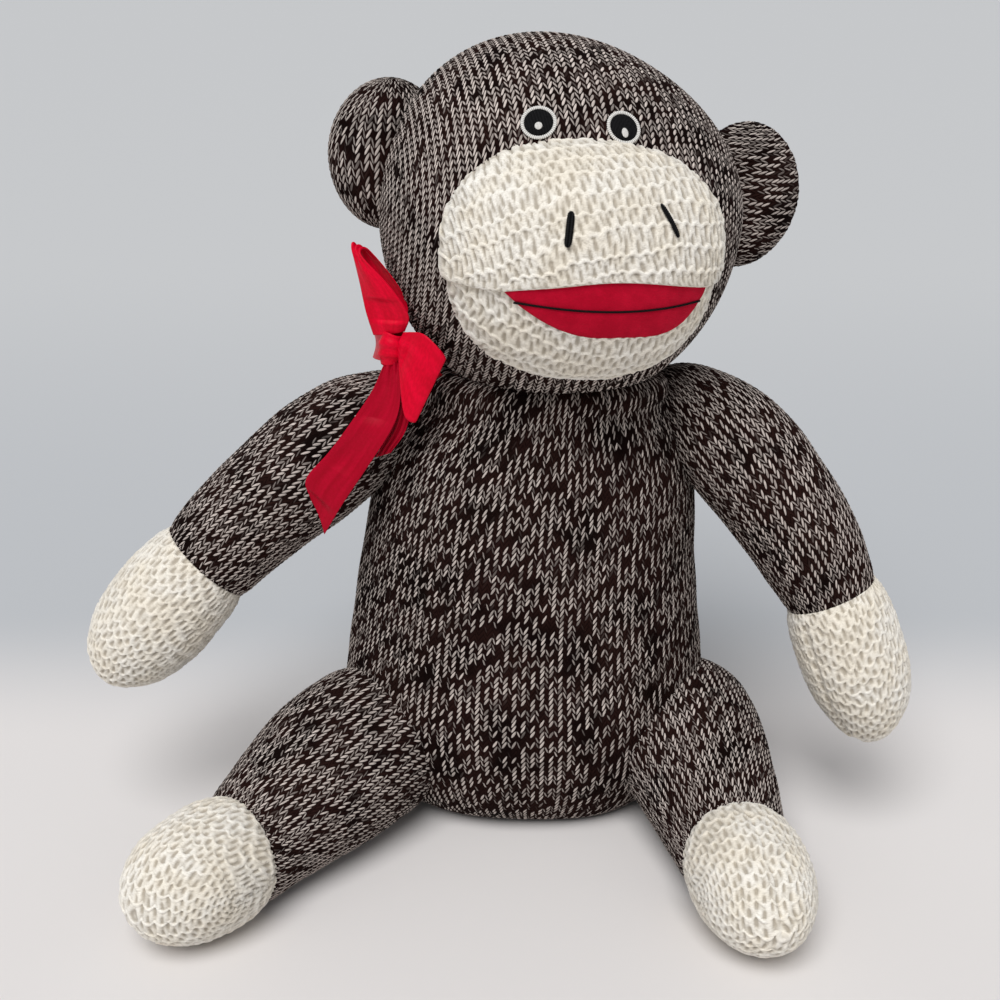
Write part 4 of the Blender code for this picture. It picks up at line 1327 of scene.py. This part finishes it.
# %% [markdown]
# ## Lips
# The muzzle is in two knitted parts that meet along the lip line, a low arch. The line is
# used three times: the upper part is tucked in along it, the chin starts under it, and the
# felt of the mouth hangs from it. A point on the front of an ellipsoid is found from its x
# and height, for what lies on the muzzle or the face.

# %% Lips
MUZZLE_PLACE = (0.0, -0.058, -0.008)
MUZZLE_HALVES = (0.0590, 0.0425, 0.0482)
CHIN_HALVES = (0.0560, 0.0395, 0.0500)
LIP_DROP = 0.0054
LIP_TILT = math.tan(math.radians(-2.8))
LIP_ARCH = 0.0055
LIP_ROUND = 0.004
MOUTH_MIDDLE = 0.0053
MOUTH_WIDTH = 0.0848


def lip_line(x):
    """Height of the lips' meeting line over the muzzle's middle."""
    across = np.clip(2 * (x - MOUTH_MIDDLE) / MOUTH_WIDTH, -1, 1)
    return -LIP_DROP - LIP_TILT * x + LIP_ARCH * (1 - across**2)


def on_ellipsoid(halves, x, z, lift):
    """The front point of an ellipsoid at x and z, moved out along its normal."""
    width, depth, height = halves
    y = -depth * np.sqrt(np.maximum(1 - (x / width) ** 2 - (z / height) ** 2, 0.0001))
    spot = np.stack([x + 0 * z, y, z + 0 * x], -1)
    normal = spot / np.array([width, depth, height]) ** 2
    normal /= np.linalg.norm(normal, axis=-1, keepdims=True)
    return spot + normal * np.asarray(lift)[..., None], normal


print("the lips are", MOUTH_WIDTH * 1000, "mm wide")

# %% [markdown]
# ## Muzzle
# Each part is an ellipsoid with its poles at the cheeks, and what lies past the lip line is
# pressed flat onto it, with a soft edge. The rows of knit lie across the face: the upper
# ones lean up towards the doll's left and flatten there, and the chin's follow its own
# outline.

# %% Muzzle
MUZZLE_COLUMNS = 240
MUZZLE_RINGS = 400
MUZZLE_POLE = 0.492
MUZZLE_SQUARE = 0.06
EDGE_CROWDING = 0.5
LIP_FADE = 0.004
ROW_STRETCH = 0.95
WAVE_STRETCH = 0.16
UPPER_LEAN = 0.30
UPPER_TILT = 0.24
UPPER_BEND = 3.9
CHIN_BEND = 6.0
CHIN_BEND_MIDDLE = 0.012
LIP_PLAIN = 0.002


def muzzle_form(halves, upper):
    """Points of one part before its lumps, its stitches, and how far each is from the lips."""
    width, depth, height = halves
    limit = MUZZLE_POLE * np.pi
    side = np.linspace(-limit, limit, MUZZLE_COLUMNS + 1)[:, None]
    turn = np.linspace(-np.pi, np.pi, MUZZLE_RINGS + 1)[None]
    turn = turn - EDGE_CROWDING * np.sin(turn)
    square = 1 + MUZZLE_SQUARE * np.abs(np.sin(2 * side) * np.sin(turn)) ** 1.5
    x = width * np.sin(side) * square
    y = -depth * np.cos(side) * np.cos(turn)
    z = height * np.cos(side) * np.sin(turn) * square
    # Rows are counted by distance up the face, and waves by distance across it.
    climb = ROW_STRETCH * height * np.arcsin(np.clip(z / height, -1, 1))
    walk = width * np.sin(side) * (1 + WAVE_STRETCH * np.sin(side) ** 2) + 0 * turn
    if upper:
        walk = walk + UPPER_LEAN * climb
        climb = climb - UPPER_TILT * x + UPPER_BEND * x**2
    else:
        climb = climb - CHIN_BEND * (x - CHIN_BEND_MIDDLE) ** 2
    edge = lip_line(x)
    over = (z - edge) if upper else (edge - z)
    pressed = 0.5 * (over + np.sqrt(over**2 + LIP_ROUND**2))
    pressed = pressed - 0.5 * LIP_ROUND * np.exp(-np.maximum(over, 0) / LIP_FADE)
    z = edge + pressed if upper else edge - pressed
    points = on_head(np.stack([x, y, z], -1) + np.array(MUZZLE_PLACE))
    return points[:, :-1], np.stack([walk / MUZZLE_WAVE, climb / MUZZLE_ROW], -1), over[:, :-1]


def make_muzzle_part(name, node, halves, upper):
    """One part of the muzzle: lumps, then stitches, which fade out where it is tucked in."""
    points, stitches, from_lips = muzzle_form(halves, upper)
    middle = on_head(np.array(MUZZLE_PLACE))
    facing = 1 if (normals(points, True) * (points - middle)).sum() > 0 else -1
    broad = lumps(points, size=0.05, depth=0.0008, seed=41)
    points = raised(points, facing * (broad + lumps(points, size=0.02, depth=0.0003, seed=42)))
    stray = wobble(points, 43)
    stitches = stitches + np.concatenate([stray, stray[:, :1]], 1)
    relief = ridges(stitches[:, :-1, 0], stitches[:, :-1, 1], MUZZLE_ARCH)
    relief = np.clip(relief + lumps(points, TUFT, TUFT_DEPTH, 45), 0, 1)
    shown = np.clip(from_lips / LIP_PLAIN, 0, 1)
    points = raised(points, facing * (relief - RELIEF_MIDDLE) * RIDGE_RELIEF * shown)
    piece = surface(name, points, stitches, cream, relief=relief)
    dressed(piece, node, "head")


make_muzzle_part("muzzle_upper_knit", "muzzle_upper_cover", MUZZLE_HALVES, upper=True)
make_muzzle_part("muzzle_chin_knit", "muzzle_chin_cover", CHIN_HALVES, upper=False)

# %% [markdown]
# ## Felt and thread
# Felt is a flat red with a fine fuzz and no shine, darker where the fuzz stands open.
# Embroidery thread is shiny, and its strands show as stripes along a piece's own map: painted
# shade between the strands and a paler painted crest on each. The black thread is so dark that
# only its shine and these painted crests show its strands.

# %% Felt and thread
FELT_REDS = ((0.54, 0.003, 0.026), (0.65, 0.005, 0.034))
FELT_OPEN = (0.25, 0.002, 0.008)
# Each pair of thread colours is the painted shade between strands, then the paler crest of a strand.
BLACKS = ((0.0012, 0.0012, 0.0014), (0.012, 0.012, 0.013))
WHITES = ((0.52, 0.50, 0.47), (0.84, 0.83, 0.80))


def felt_material():
    """Red felt: soft clouds of two reds, a fine fuzz, and a red sheen at grazing angles."""
    material, tree, shader = new_finish("red felt", 0.95, sheen=0.25, specular=0.05)
    shader.inputs["Sheen Tint"].default_value = (1.0, 0.12, 0.2, 1)
    fuzz = noise(tree, placed(tree), 2600.0, 3.0, 0.7)
    cloudy = noise(tree, placed(tree), 130.0, 2.0)
    red = blended(tree, ranged(tree, cloudy, 0.35, 0.65), *FELT_REDS)
    opened = ranged(tree, fuzz, 0.70, 0.35, 0.0, 0.40)
    coloured(tree, shader, blended(tree, opened, red, FELT_OPEN))
    bumped(tree, shader, fuzz, 0.0006, 0.8)
    return material


def thread_material(name, dark, light, shine=0.15):
    """Shiny embroidery thread: stripes along the piece's own map, one for each strand, painted darker between
    strands and paler on their crests.
    """
    material, tree, shader = new_finish(name, 0.6, specular=shine)
    strands, _ = across_and_along(tree, "stitches")
    wave = calc(tree, "SINE", calc(tree, "MULTIPLY", strands, 2 * math.pi))
    fuzz = noise(tree, placed(tree), 1800.0, 2.0, 0.6)
    share = calc(tree, "MULTIPLY_ADD", wave, 0.35, fuzz)
    # painted shade between strands and paler painted crests, following the strands' sine
    coloured(tree, shader, blended(tree, ranged(tree, share, 0.25, 0.75), dark, light))
    bumped(tree, shader, share, 0.0003, 0.6)
    return material


felt = felt_material()
black_thread = thread_material("black embroidery thread", *BLACKS, shine=0.05)
white_thread = thread_material("white embroidery thread", *WHITES)
print("made", felt.name + ",", black_thread.name, "and", white_thread.name)

# %% [markdown]
# ## Mouth
# The mouth is a lens of red felt that lies on the chin, with its top edge tucked under the
# upper lip. It is fuller towards the doll's left. A black line of stitches follows its
# middle from corner to corner. Both are worked out on the lens's own two shares, across it
# and down from the lips, so the line stays on the felt whatever the lens's size.

# %% Mouth
MOUTH_HEIGHT = 0.0250
MOUTH_BASE = 0.0004
MOUTH_THICKNESS = 0.0016
MOUTH_TUCK = 0.0012
MOUTH_COLUMNS = 120
MOUTH_RING = 48
MOUTH_THIN = 0.006
MOUTH_FULL_RIGHT = 2.0
MOUTH_FULL_LEFT = 5.0
MOUTH_LINE_DROP = 0.01325
MOUTH_LINE_MIDDLE = 0.08
MOUTH_LINE_CURVE = 0.60
MOUTH_LINE_LOWEST = 0.97
MOUTH_LINE_RADIUS = 0.00045
MOUTH_LINE_ENDS = (-0.865, 0.905)
MOUTH_LINE_TWISTS = 60
GROOVE_DEPTH = 0.0003
GROOVE_SHARE = 0.05


def mouth_depth(across):
    """How far the lens reaches below the lips at a share from -1 to 1 across it."""
    power = np.where(across < 0, MOUTH_FULL_RIGHT, MOUTH_FULL_LEFT)
    return MOUTH_HEIGHT * (1 - np.abs(across) ** power)


def mouth_point(across, share, lift):
    """A point on the chin: across it from -1 to 1, and a share from the lips to the edge."""
    x = MOUTH_MIDDLE + across * MOUTH_WIDTH / 2
    z = lip_line(x) + MOUTH_TUCK * (1 - share) - share * mouth_depth(across)
    spot, _ = on_ellipsoid(CHIN_HALVES, x, z, lift)
    return on_head(spot + np.array(MUZZLE_PLACE))


def mouth_line(across):
    """The stitched line, as a share of the lens: nearly level, and out at the lower edge."""
    drop = MOUTH_LINE_DROP * (1 - MOUTH_LINE_CURVE * (across - MOUTH_LINE_MIDDLE) ** 2)
    return np.minimum(drop / np.maximum(mouth_depth(across), 1e-4), MOUTH_LINE_LOWEST)


def make_mouth():
    """The felt lens: its ring goes down the front, and up the back, which lies on the chin."""
    across = np.linspace(-0.998, 0.998, MOUTH_COLUMNS + 1)[:, None]
    ring = np.linspace(0, 2, MOUTH_RING, endpoint=False)[None]
    front = ring < 1
    share = np.where(front, ring, 2 - ring)
    crown = np.sin(np.pi * share) ** 0.5 * np.clip(mouth_depth(across) / MOUTH_THIN, 0, 1)
    front_lift = MOUTH_BASE + MOUTH_THICKNESS * (0.25 + 0.75 * crown)
    points = mouth_point(across, share, np.where(front, front_lift, MOUTH_BASE * (1 - crown)))
    grooved = np.exp(-(((share - mouth_line(across)) / GROOVE_SHARE) ** 2)) * front
    stitches = np.stack(np.broadcast_arrays(across * 40, np.append(ring, 2)[None] * 10), -1)
    points = raised(points, -GROOVE_DEPTH * grooved)
    dressed(surface("mouth_felt_lens", points, stitches, felt), "mouth_felt", "head")


def make_mouth_line():
    """The black thread: a thin tube that lies on the felt, with its strands twisted round it."""
    along = np.linspace(*MOUTH_LINE_ENDS, 241)
    lifts = 0.4 + 0.6 * np.clip(mouth_depth(along) / MOUTH_THIN, 0, 1)
    line = mouth_point(along, mouth_line(along), MOUTH_BASE + MOUTH_THICKNESS * lifts)
    angles, counts = around_wales(3)
    points = tube(line, np.full(len(line), MOUTH_LINE_RADIUS), (0, 0, 1), angles)
    twist = stitch_grid(counts, np.linspace(0, MOUTH_LINE_TWISTS, len(line)))
    twist[..., 0] += twist[..., 1]
    thread = surface("mouth_line_thread", points, twist, black_thread)
    dressed(thread, "mouth_line_stitch", "head")


make_mouth()
make_mouth_line()

# %% [markdown]
# ## Nostrils
# Each nostril is a short bar of satin stitch, a flat bundle of threads with rounded ends. It
# is a tube along a line on the upper muzzle, pressed flat, and its radius goes up and down
# once for each thread.

# %% Nostrils
NOSTRILS = {
    "right": ((-0.0128, 0.0247), (-0.0140, 0.0118), 0.0015),
    "left": ((0.0226, 0.0283), (0.0303, 0.0163), 0.0010),
}
NOSTRIL_LIFT = 0.0012
NOSTRIL_FLAT = 0.7
NOSTRIL_BEND = 0.0005
NOSTRIL_THREADS = 17
NOSTRIL_THREAD_RELIEF = 0.10


def make_nostril(side):
    """A bar whose radius follows half an ellipse, with a zigzag of threads in relief."""
    upper, lower, half_width = NOSTRILS[side]
    share = np.linspace(0.002, 0.998, 81)
    x = upper[0] + (lower[0] - upper[0]) * share
    z = upper[1] + (lower[1] - upper[1]) * share
    bend = NOSTRIL_BEND * np.sin(np.pi * share) * (side == "left")
    spots, normal = on_ellipsoid(MUZZLE_HALVES, x + bend, z, np.full_like(x, NOSTRIL_LIFT))
    line = on_head(spots + np.array(MUZZLE_PLACE))
    angles, counts = around_wales(6)
    round_ends = np.minimum(1, (1 - np.abs(2 * share - 1) ** 7)) ** 0.5
    zigzag = 1 + NOSTRIL_THREAD_RELIEF * np.sin(2 * np.pi * share * NOSTRIL_THREADS)
    points = tube(line, half_width * round_ends * zigzag, (HEAD_TURN @ (1, 0, 0)), angles)
    away = (normal @ HEAD_TURN.T)[:, None]
    height = ((points - line[:, None]) * away).sum(-1, keepdims=True)
    points = points - away * height * (1 - NOSTRIL_FLAT)
    threads = stitch_grid(counts, share * NOSTRIL_THREADS)
    bar = surface(f"nostril_thread_{side}", points, threads, black_thread)
    dressed(bar, f"nostril_stitch_{side}", "head")


make_nostril("right")
make_nostril("left")

# %% [markdown]
# ## Eyes
# An eye is embroidered in three layers: a ring of white satin stitch, a black disc a little
# domed inside it, and a white glint below the disc's middle. Each eye has a frame of its
# own, flat on the face, so the layers are drawn as if on a level table.

# %% Eyes
EYE_SPACING = 0.0342
EYE_OFFSET = -0.005
EYE_HEIGHT = 0.0447
EYE_RING = 0.0066
EYE_RING_HALVES = (0.00072, 0.00045)
EYE_DISC = 0.0060
EYE_DOME = 0.0008
EYE_LIFT = 0.0011
EYE_GLINTS = {
    "right": ((0.0002, -0.0018), 0.00155, 0.00165),
    "left": ((-0.0001, -0.0026), 0.0014, 0.0021),
}
GLINT_DOME = 0.0004
DOME_BACK = -0.0006
RING_THREADS = 52
RING_THREAD_RELIEF = 0.10
STRANDS_PER_METRE = 1700


def eye_frame(sign):
    """The eye's middle on the head, with its axes to the doll's left, up the face, and out."""
    z = np.array(EYE_HEIGHT)
    lean = HEAD_LEAN * (z / HEAD_HALVES[2]) ** 2
    x = np.array(EYE_OFFSET + sign * EYE_SPACING / 2 + lean)
    spot, normal = on_ellipsoid(HEAD_HALVES, x, z, np.array(EYE_LIFT))
    spot = spot - np.array([lean, 0, 0])
    across = np.cross((0, 0, 1), normal)
    across = -across / np.linalg.norm(across)
    across = across * np.sign(across[0])
    up = np.cross(normal, across)
    up = up * np.sign(up[2])
    return spot, np.stack([across, up, normal])


def make_round(name, node, frame, middle, halves, dome, material, lift):
    """A low dome with a flat back: rings from the front's middle, over the rim, to the back."""
    spot, axes = frame
    angle = np.linspace(0, 2 * np.pi, 97)
    share = np.concatenate([np.linspace(0.02, 1, 14), [0.9, 0.5, 0.05]])
    front = np.arange(len(share)) < 14
    rise = np.where(front, dome * (1 - np.clip(share, 0, 1) ** 3), DOME_BACK)
    x = middle[0] + halves[0] * share[:, None] * np.cos(angle)
    y = middle[1] + halves[1] * share[:, None] * np.sin(angle)
    z = rise[:, None] + lift + 0 * x
    places = on_head(spot + np.stack([x, y, z], -1) @ axes)
    stitches = np.stack([x * STRANDS_PER_METRE, y * 200], -1)
    dressed(surface(name, places[:, :-1], stitches, material), node, "head")


def make_eye_ring(side, frame):
    """A ring of satin stitch: its thickness goes up and down once for each thread."""
    spot, axes = frame
    turns = np.linspace(0, 2 * np.pi, 361)[:-1, None]
    section = np.linspace(0, 2 * np.pi, 17)[None]
    satin_stitch = 1 + RING_THREAD_RELIEF * np.sin(turns * RING_THREADS)
    reach = EYE_RING + EYE_RING_HALVES[0] * np.cos(section) * satin_stitch
    x, y = reach * np.cos(turns), reach * np.sin(turns)
    z = EYE_RING_HALVES[1] * np.sin(section) * satin_stitch
    places = on_head(spot + np.stack([x, y, z], -1) @ axes)
    threads = turns * RING_THREADS / (2 * np.pi)
    stitches = np.stack(np.broadcast_arrays(threads, section), -1)
    stitches = np.concatenate([stitches, stitches[:1] + np.array([RING_THREADS, 0])])
    ring = surface(
        f"eye_ring_thread_{side}", places[:, :-1], stitches, white_thread, looped=True
    )
    dressed(ring, f"eye_ring_{side}", "head")


def make_eye(side, sign):
    """An eye's three layers. Its glint stands on the top of the disc's dome."""
    frame = eye_frame(sign)
    make_eye_ring(side, frame)
    make_round(
        f"eye_disc_thread_{side}", f"eye_disc_{side}", frame, (0, 0), (EYE_DISC, EYE_DISC),
        EYE_DOME, black_thread, lift=0.0,
    )  # fmt: skip
    middle, *halves = EYE_GLINTS[side]
    make_round(
        f"eye_glint_thread_{side}", f"eye_glint_{side}", frame, middle, halves,
        GLINT_DOME, white_thread, lift=EYE_DOME,
    )  # fmt: skip


make_eye("right", -1)
make_eye("left", 1)

# %% [markdown]
# ## Ribbon
# A ribbon is a strip between two smooth edges. Where the edges come nearer than the
# ribbon's width, its cloth stands up between them in small pleats, so that its area stays.

# %% Ribbon
RIBBON_WIDTH = 0.019
RIBBON_THICKNESS = 0.0004
NECK_MIDDLE = (0.008, 0, 0.229)
KNOT_PLACE = (-0.0618, -0.0388, 0.2483)
BAND_ROUTE = (
    (-3.74, -1.98, 0.98, 0.28), (-3.98, -1.60, 0.92, 0.34), (-4.18, -1.10, 0.84, 0.36), (-4.20, -0.45, 0.72, 0.36),
    (-3.62, 0.40, 0.42, 0.32), (-2.75, 1.30, 0.10, 0.22), (-1.50, 2.08, -0.12, 0.14), (0.00, 2.38, -0.13, 0.14),
    (1.50, 2.10, -0.13, 0.14), (2.36, 1.18, -0.13, 0.14), (2.64, 0.00, -0.13, 0.12), (2.36, -1.18, -0.13, 0.12),
    (1.50, -2.06, -0.15, 0.12), (0.00, -2.36, -0.16, 0.12), (-1.30, -1.88, -0.15, 0.10), (-1.95, -1.38, -0.15, 0.10),
    (-2.50, -1.02, -0.08, 0.09), (-3.04, -1.40, 0.48, 0.17), (-3.40, -2.02, 0.94, 0.30),
)  # fmt: skip
RIBBON_EDGES = {
    "upper_loop": (
        ((-0.42, 0.02, 0.30), (0.32, -0.10, 0.42)), ((-0.58, 0.05, 0.85), (0.42, -0.28, 0.85)),
        ((-0.70, 0.12, 1.50), (0.02, -0.26, 1.50)), ((-0.86, 0.20, 2.28), (-0.62, -0.03, 2.16)),
        ((-0.82, 0.30, 2.32), (-0.46, 0.18, 2.22)), ((-0.62, 0.40, 1.60), (0.12, 0.18, 1.50)),
        ((-0.46, 0.34, 0.95), (0.38, 0.20, 0.92)), ((-0.34, 0.10, 0.42), (0.26, 0.06, 0.44)),
    ),
    "front_loop": (
        ((0.30, -0.19, 0.42), (0.16, -0.22, -0.20)), ((0.76, -0.62, 0.50), (0.22, -0.66, -0.80)),
        ((1.14, -0.82, 0.20), (0.32, -0.86, -1.40)), ((1.28, -0.80, -0.04), (0.56, -0.84, -1.54)),
        ((1.18, -0.60, 0.08), (0.60, -0.66, -1.22)), ((0.88, -0.44, 0.32), (0.40, -0.46, -0.66)),
        ((0.34, -0.06, 0.32), (0.30, -0.07, -0.14)),
    ),
    "long_tail": (
        ((-0.16, -0.19, -0.30), (0.16, -0.21, -0.30)), ((-0.48, -0.34, -0.96), (0.20, -0.58, -1.12)),
        ((-0.96, -0.47, -1.65), (-0.02, -0.72, -1.78)), ((-1.51, -0.53, -2.38), (-0.70, -0.74, -2.84)),
        ((-2.09, -0.53, -3.07), (-1.24, -0.72, -3.66)), ((-2.00, -0.56, -3.60), (-1.71, -0.63, -4.46)),
    ),
    "short_tail": (
        ((0.09, -0.10, -0.36), (0.25, -0.138, -0.30)), ((0.16, -0.34, -1.10), (0.42, -0.44, -1.15)),
        ((0.02, -0.42, -1.75), (0.30, -0.53, -1.85)), ((-0.43, -0.40, -2.57), (-0.08, -0.50, -2.43)),
    ),
}  # fmt: skip
RIBBON_NODES = {
    "upper_loop": "bow_upper_loop", "front_loop": "bow_front_loop",
    "long_tail": "ribbon_tail_long", "short_tail": "ribbon_tail_short",
}  # fmt: skip
RIBBON_ROWS = 160
RIBBON_COLUMNS = 32
PLEAT_LIMIT = 0.0006
CURL_LIMIT = 0.0016


def satin_material(name, deep, bright):
    """Red satin: fine threads across the ribbon, and long soft streaks of painted gloss along it."""
    material, tree, shader = new_finish(name, 0.42, specular=0.28)
    shader.inputs["Specular Tint"].default_value = (1.0, 0.25, 0.3, 1)
    across, along = across_and_along(tree, "stitches")
    weave = noise(tree, point(tree, calc(tree, "MULTIPLY", across, 14.0), calc(tree, "MULTIPLY", along, 700.0)), 1.0, 1.0)
    streaks = noise(tree, point(tree, calc(tree, "MULTIPLY", across, 5.0), calc(tree, "MULTIPLY", along, 26.0)), 1.0, 2.0)
    # painted gloss: long streaks from the deep red to the bright one
    red = blended(tree, ranged(tree, streaks, 0.30, 0.70), deep, bright)
    tree.links.new(blended(tree, ranged(tree, weave, 0.65, 0.35, 0.0, 0.18), red, (0.25, 0.001, 0.004)), shader.inputs["Base Color"])
    bumped(tree, shader, weave, 0.0001, 0.35)
    return material


satin = satin_material("red satin", (0.60, 0.0010, 0.019), (0.78, 0.0015, 0.030))
# painted shade: a darker copy of the same satin for the tails, which hang in the bow's shade
shaded_satin = satin_material("red satin in painted shade", (0.34, 0.0010, 0.014), (0.44, 0.0016, 0.021))


def cloth_area(points):
    """Area of a grid of points: the sum of its cells, each the length of a cross product."""
    du, dv = np.diff(points, axis=1)[:-1], np.diff(points, axis=0)[:, :-1]
    return float(np.linalg.norm(np.cross(du, dv), axis=-1).sum())


def strip(name, first, second, cloth, pleats=2.5):
    """A ribbon between two edges: an S of cloth for each pleat, as tall as the spare width makes it."""
    keys = np.arange(len(first))
    rows = np.linspace(0, len(first) - 1, RIBBON_ROWS + 1)
    a, b = smooth(rows, keys, first), smooth(rows, keys, second)
    gap = np.maximum(np.linalg.norm(b - a, axis=1), 0.0005)[:, None]
    along = np.gradient((a + b) / 2, axis=0)
    up = np.cross(b - a, along)
    up /= np.linalg.norm(up, axis=1, keepdims=True)
    spare = np.maximum((RIBBON_WIDTH / gap) ** 2 - 1, 0) / 2
    spare = spare / np.sqrt(spare + 0.08)
    column = np.linspace(0, 1, RIBBON_COLUMNS + 1)[None]
    tight = np.clip((0.62 - gap / RIBBON_WIDTH) / 0.3, 0, 1)
    pleat = np.minimum(gap / (np.pi * pleats) * spare, PLEAT_LIMIT) * tight
    curl = np.minimum(gap * spare * 0.6, CURL_LIMIT) * (1 - tight)
    height = pleat * np.sin(2 * np.pi * pleats * column) + curl * np.sin(np.pi * column)
    points = a[:, None] + (b - a)[:, None] * column[..., None] + up[:, None] * height[..., None]
    length = np.concatenate([[0], np.cumsum(np.linalg.norm(np.diff((a + b) / 2, axis=0), axis=1))])
    stitches = np.stack(np.broadcast_arrays(column, length[:, None]), -1)
    piece = surface(name, points, stitches, cloth, closed=False, caps=(False, False))
    wall = piece.modifiers.new("cloth", "SOLIDIFY")
    wall.thickness = RIBBON_THICKNESS
    wall.offset = 0
    area = cloth_area(points)
    print(f"{name}: {length[-1] * 1000:.0f} mm of ribbon, area share {area / (RIBBON_WIDTH * length[-1]):.2f}")
    return piece, float(length[-1]), area


def make_band():
    route = np.array(BAND_ROUTE)
    places = np.array(NECK_MIDDLE) + route[:, :3] * RIBBON_WIDTH
    rise = np.zeros_like(places)
    rise[:, 2] = route[:, 3] * RIBBON_WIDTH
    piece, length, area = strip("neck_ribbon", places + rise, places - rise, satin)
    dressed(piece, "neck_ribbon_band", None)
    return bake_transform(piece)


def make_knot():
    """The knot's own turn of ribbon: a closed band round the bow's middle, full in front."""
    turns = np.linspace(0, 2 * np.pi, 97)[:-1, None]
    column = np.linspace(-1, 1, 25)[None]
    crease = 1 + 0.05 * np.sin(9 * column + 2 * np.sin(turns)) - 0.30 * np.abs(column) ** 3
    x = 0.0058 * np.cos(turns) * crease
    y = 0.0055 * np.sin(turns) * crease
    z = 0.0070 * column * (1 + 0.08 * np.sin(2 * turns)) + 0 * x
    lean = turn_matrix("Y", 8)
    points = np.stack([x, y, z], -1) @ lean.T + np.array(KNOT_PLACE)
    stitches = np.stack(np.broadcast_arrays((column + 1) / 2, turns * 0.0065), -1)
    stitches = np.concatenate([stitches, stitches[:1] + np.array([0, 2 * np.pi * 0.0065])])
    piece = surface("knot_ribbon", points, stitches, satin, closed=False, caps=(False, False), looped=True)
    wall = piece.modifiers.new("cloth", "SOLIDIFY")
    wall.thickness = RIBBON_THICKNESS
    wall.offset = 0
    dressed(piece, "bow_knot", "head")
    return piece


def make_bow():
    for name, rows in RIBBON_EDGES.items():
        edges = np.array(KNOT_PLACE) + np.array(rows) * RIBBON_WIDTH
        tail = name.endswith("tail")
        # the tails take the satin copy with painted shade
        cloth = shaded_satin if tail else satin
        piece, length, area = strip(f"{name}_ribbon", edges[:, 0], edges[:, 1], cloth)
        dressed(piece, RIBBON_NODES[name], None if tail else "head")
        if tail:
            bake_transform(piece)


band = make_band()
knot = make_knot()
make_bow()

# %% [markdown]
# ## Hidden stuffing
# The CAD stuffing and the bag of pellets stay inside the covers. They take a loose white
# fibre and a woven cloth, which a cut through the doll would show.

# %% Hidden stuffing
bag_cloth = fibre_material("pellet bag cloth", (0.50, 0.52, 0.54), (0.40, 0.42, 0.44), 900.0)
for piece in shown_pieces():
    if "filling" in piece.name or piece.name == "seat_pellet_bag":
        piece.data.materials.clear()
        piece.data.materials.append(bag_cloth if "bag" in piece.name else fibre)
print("stuffing dressed")
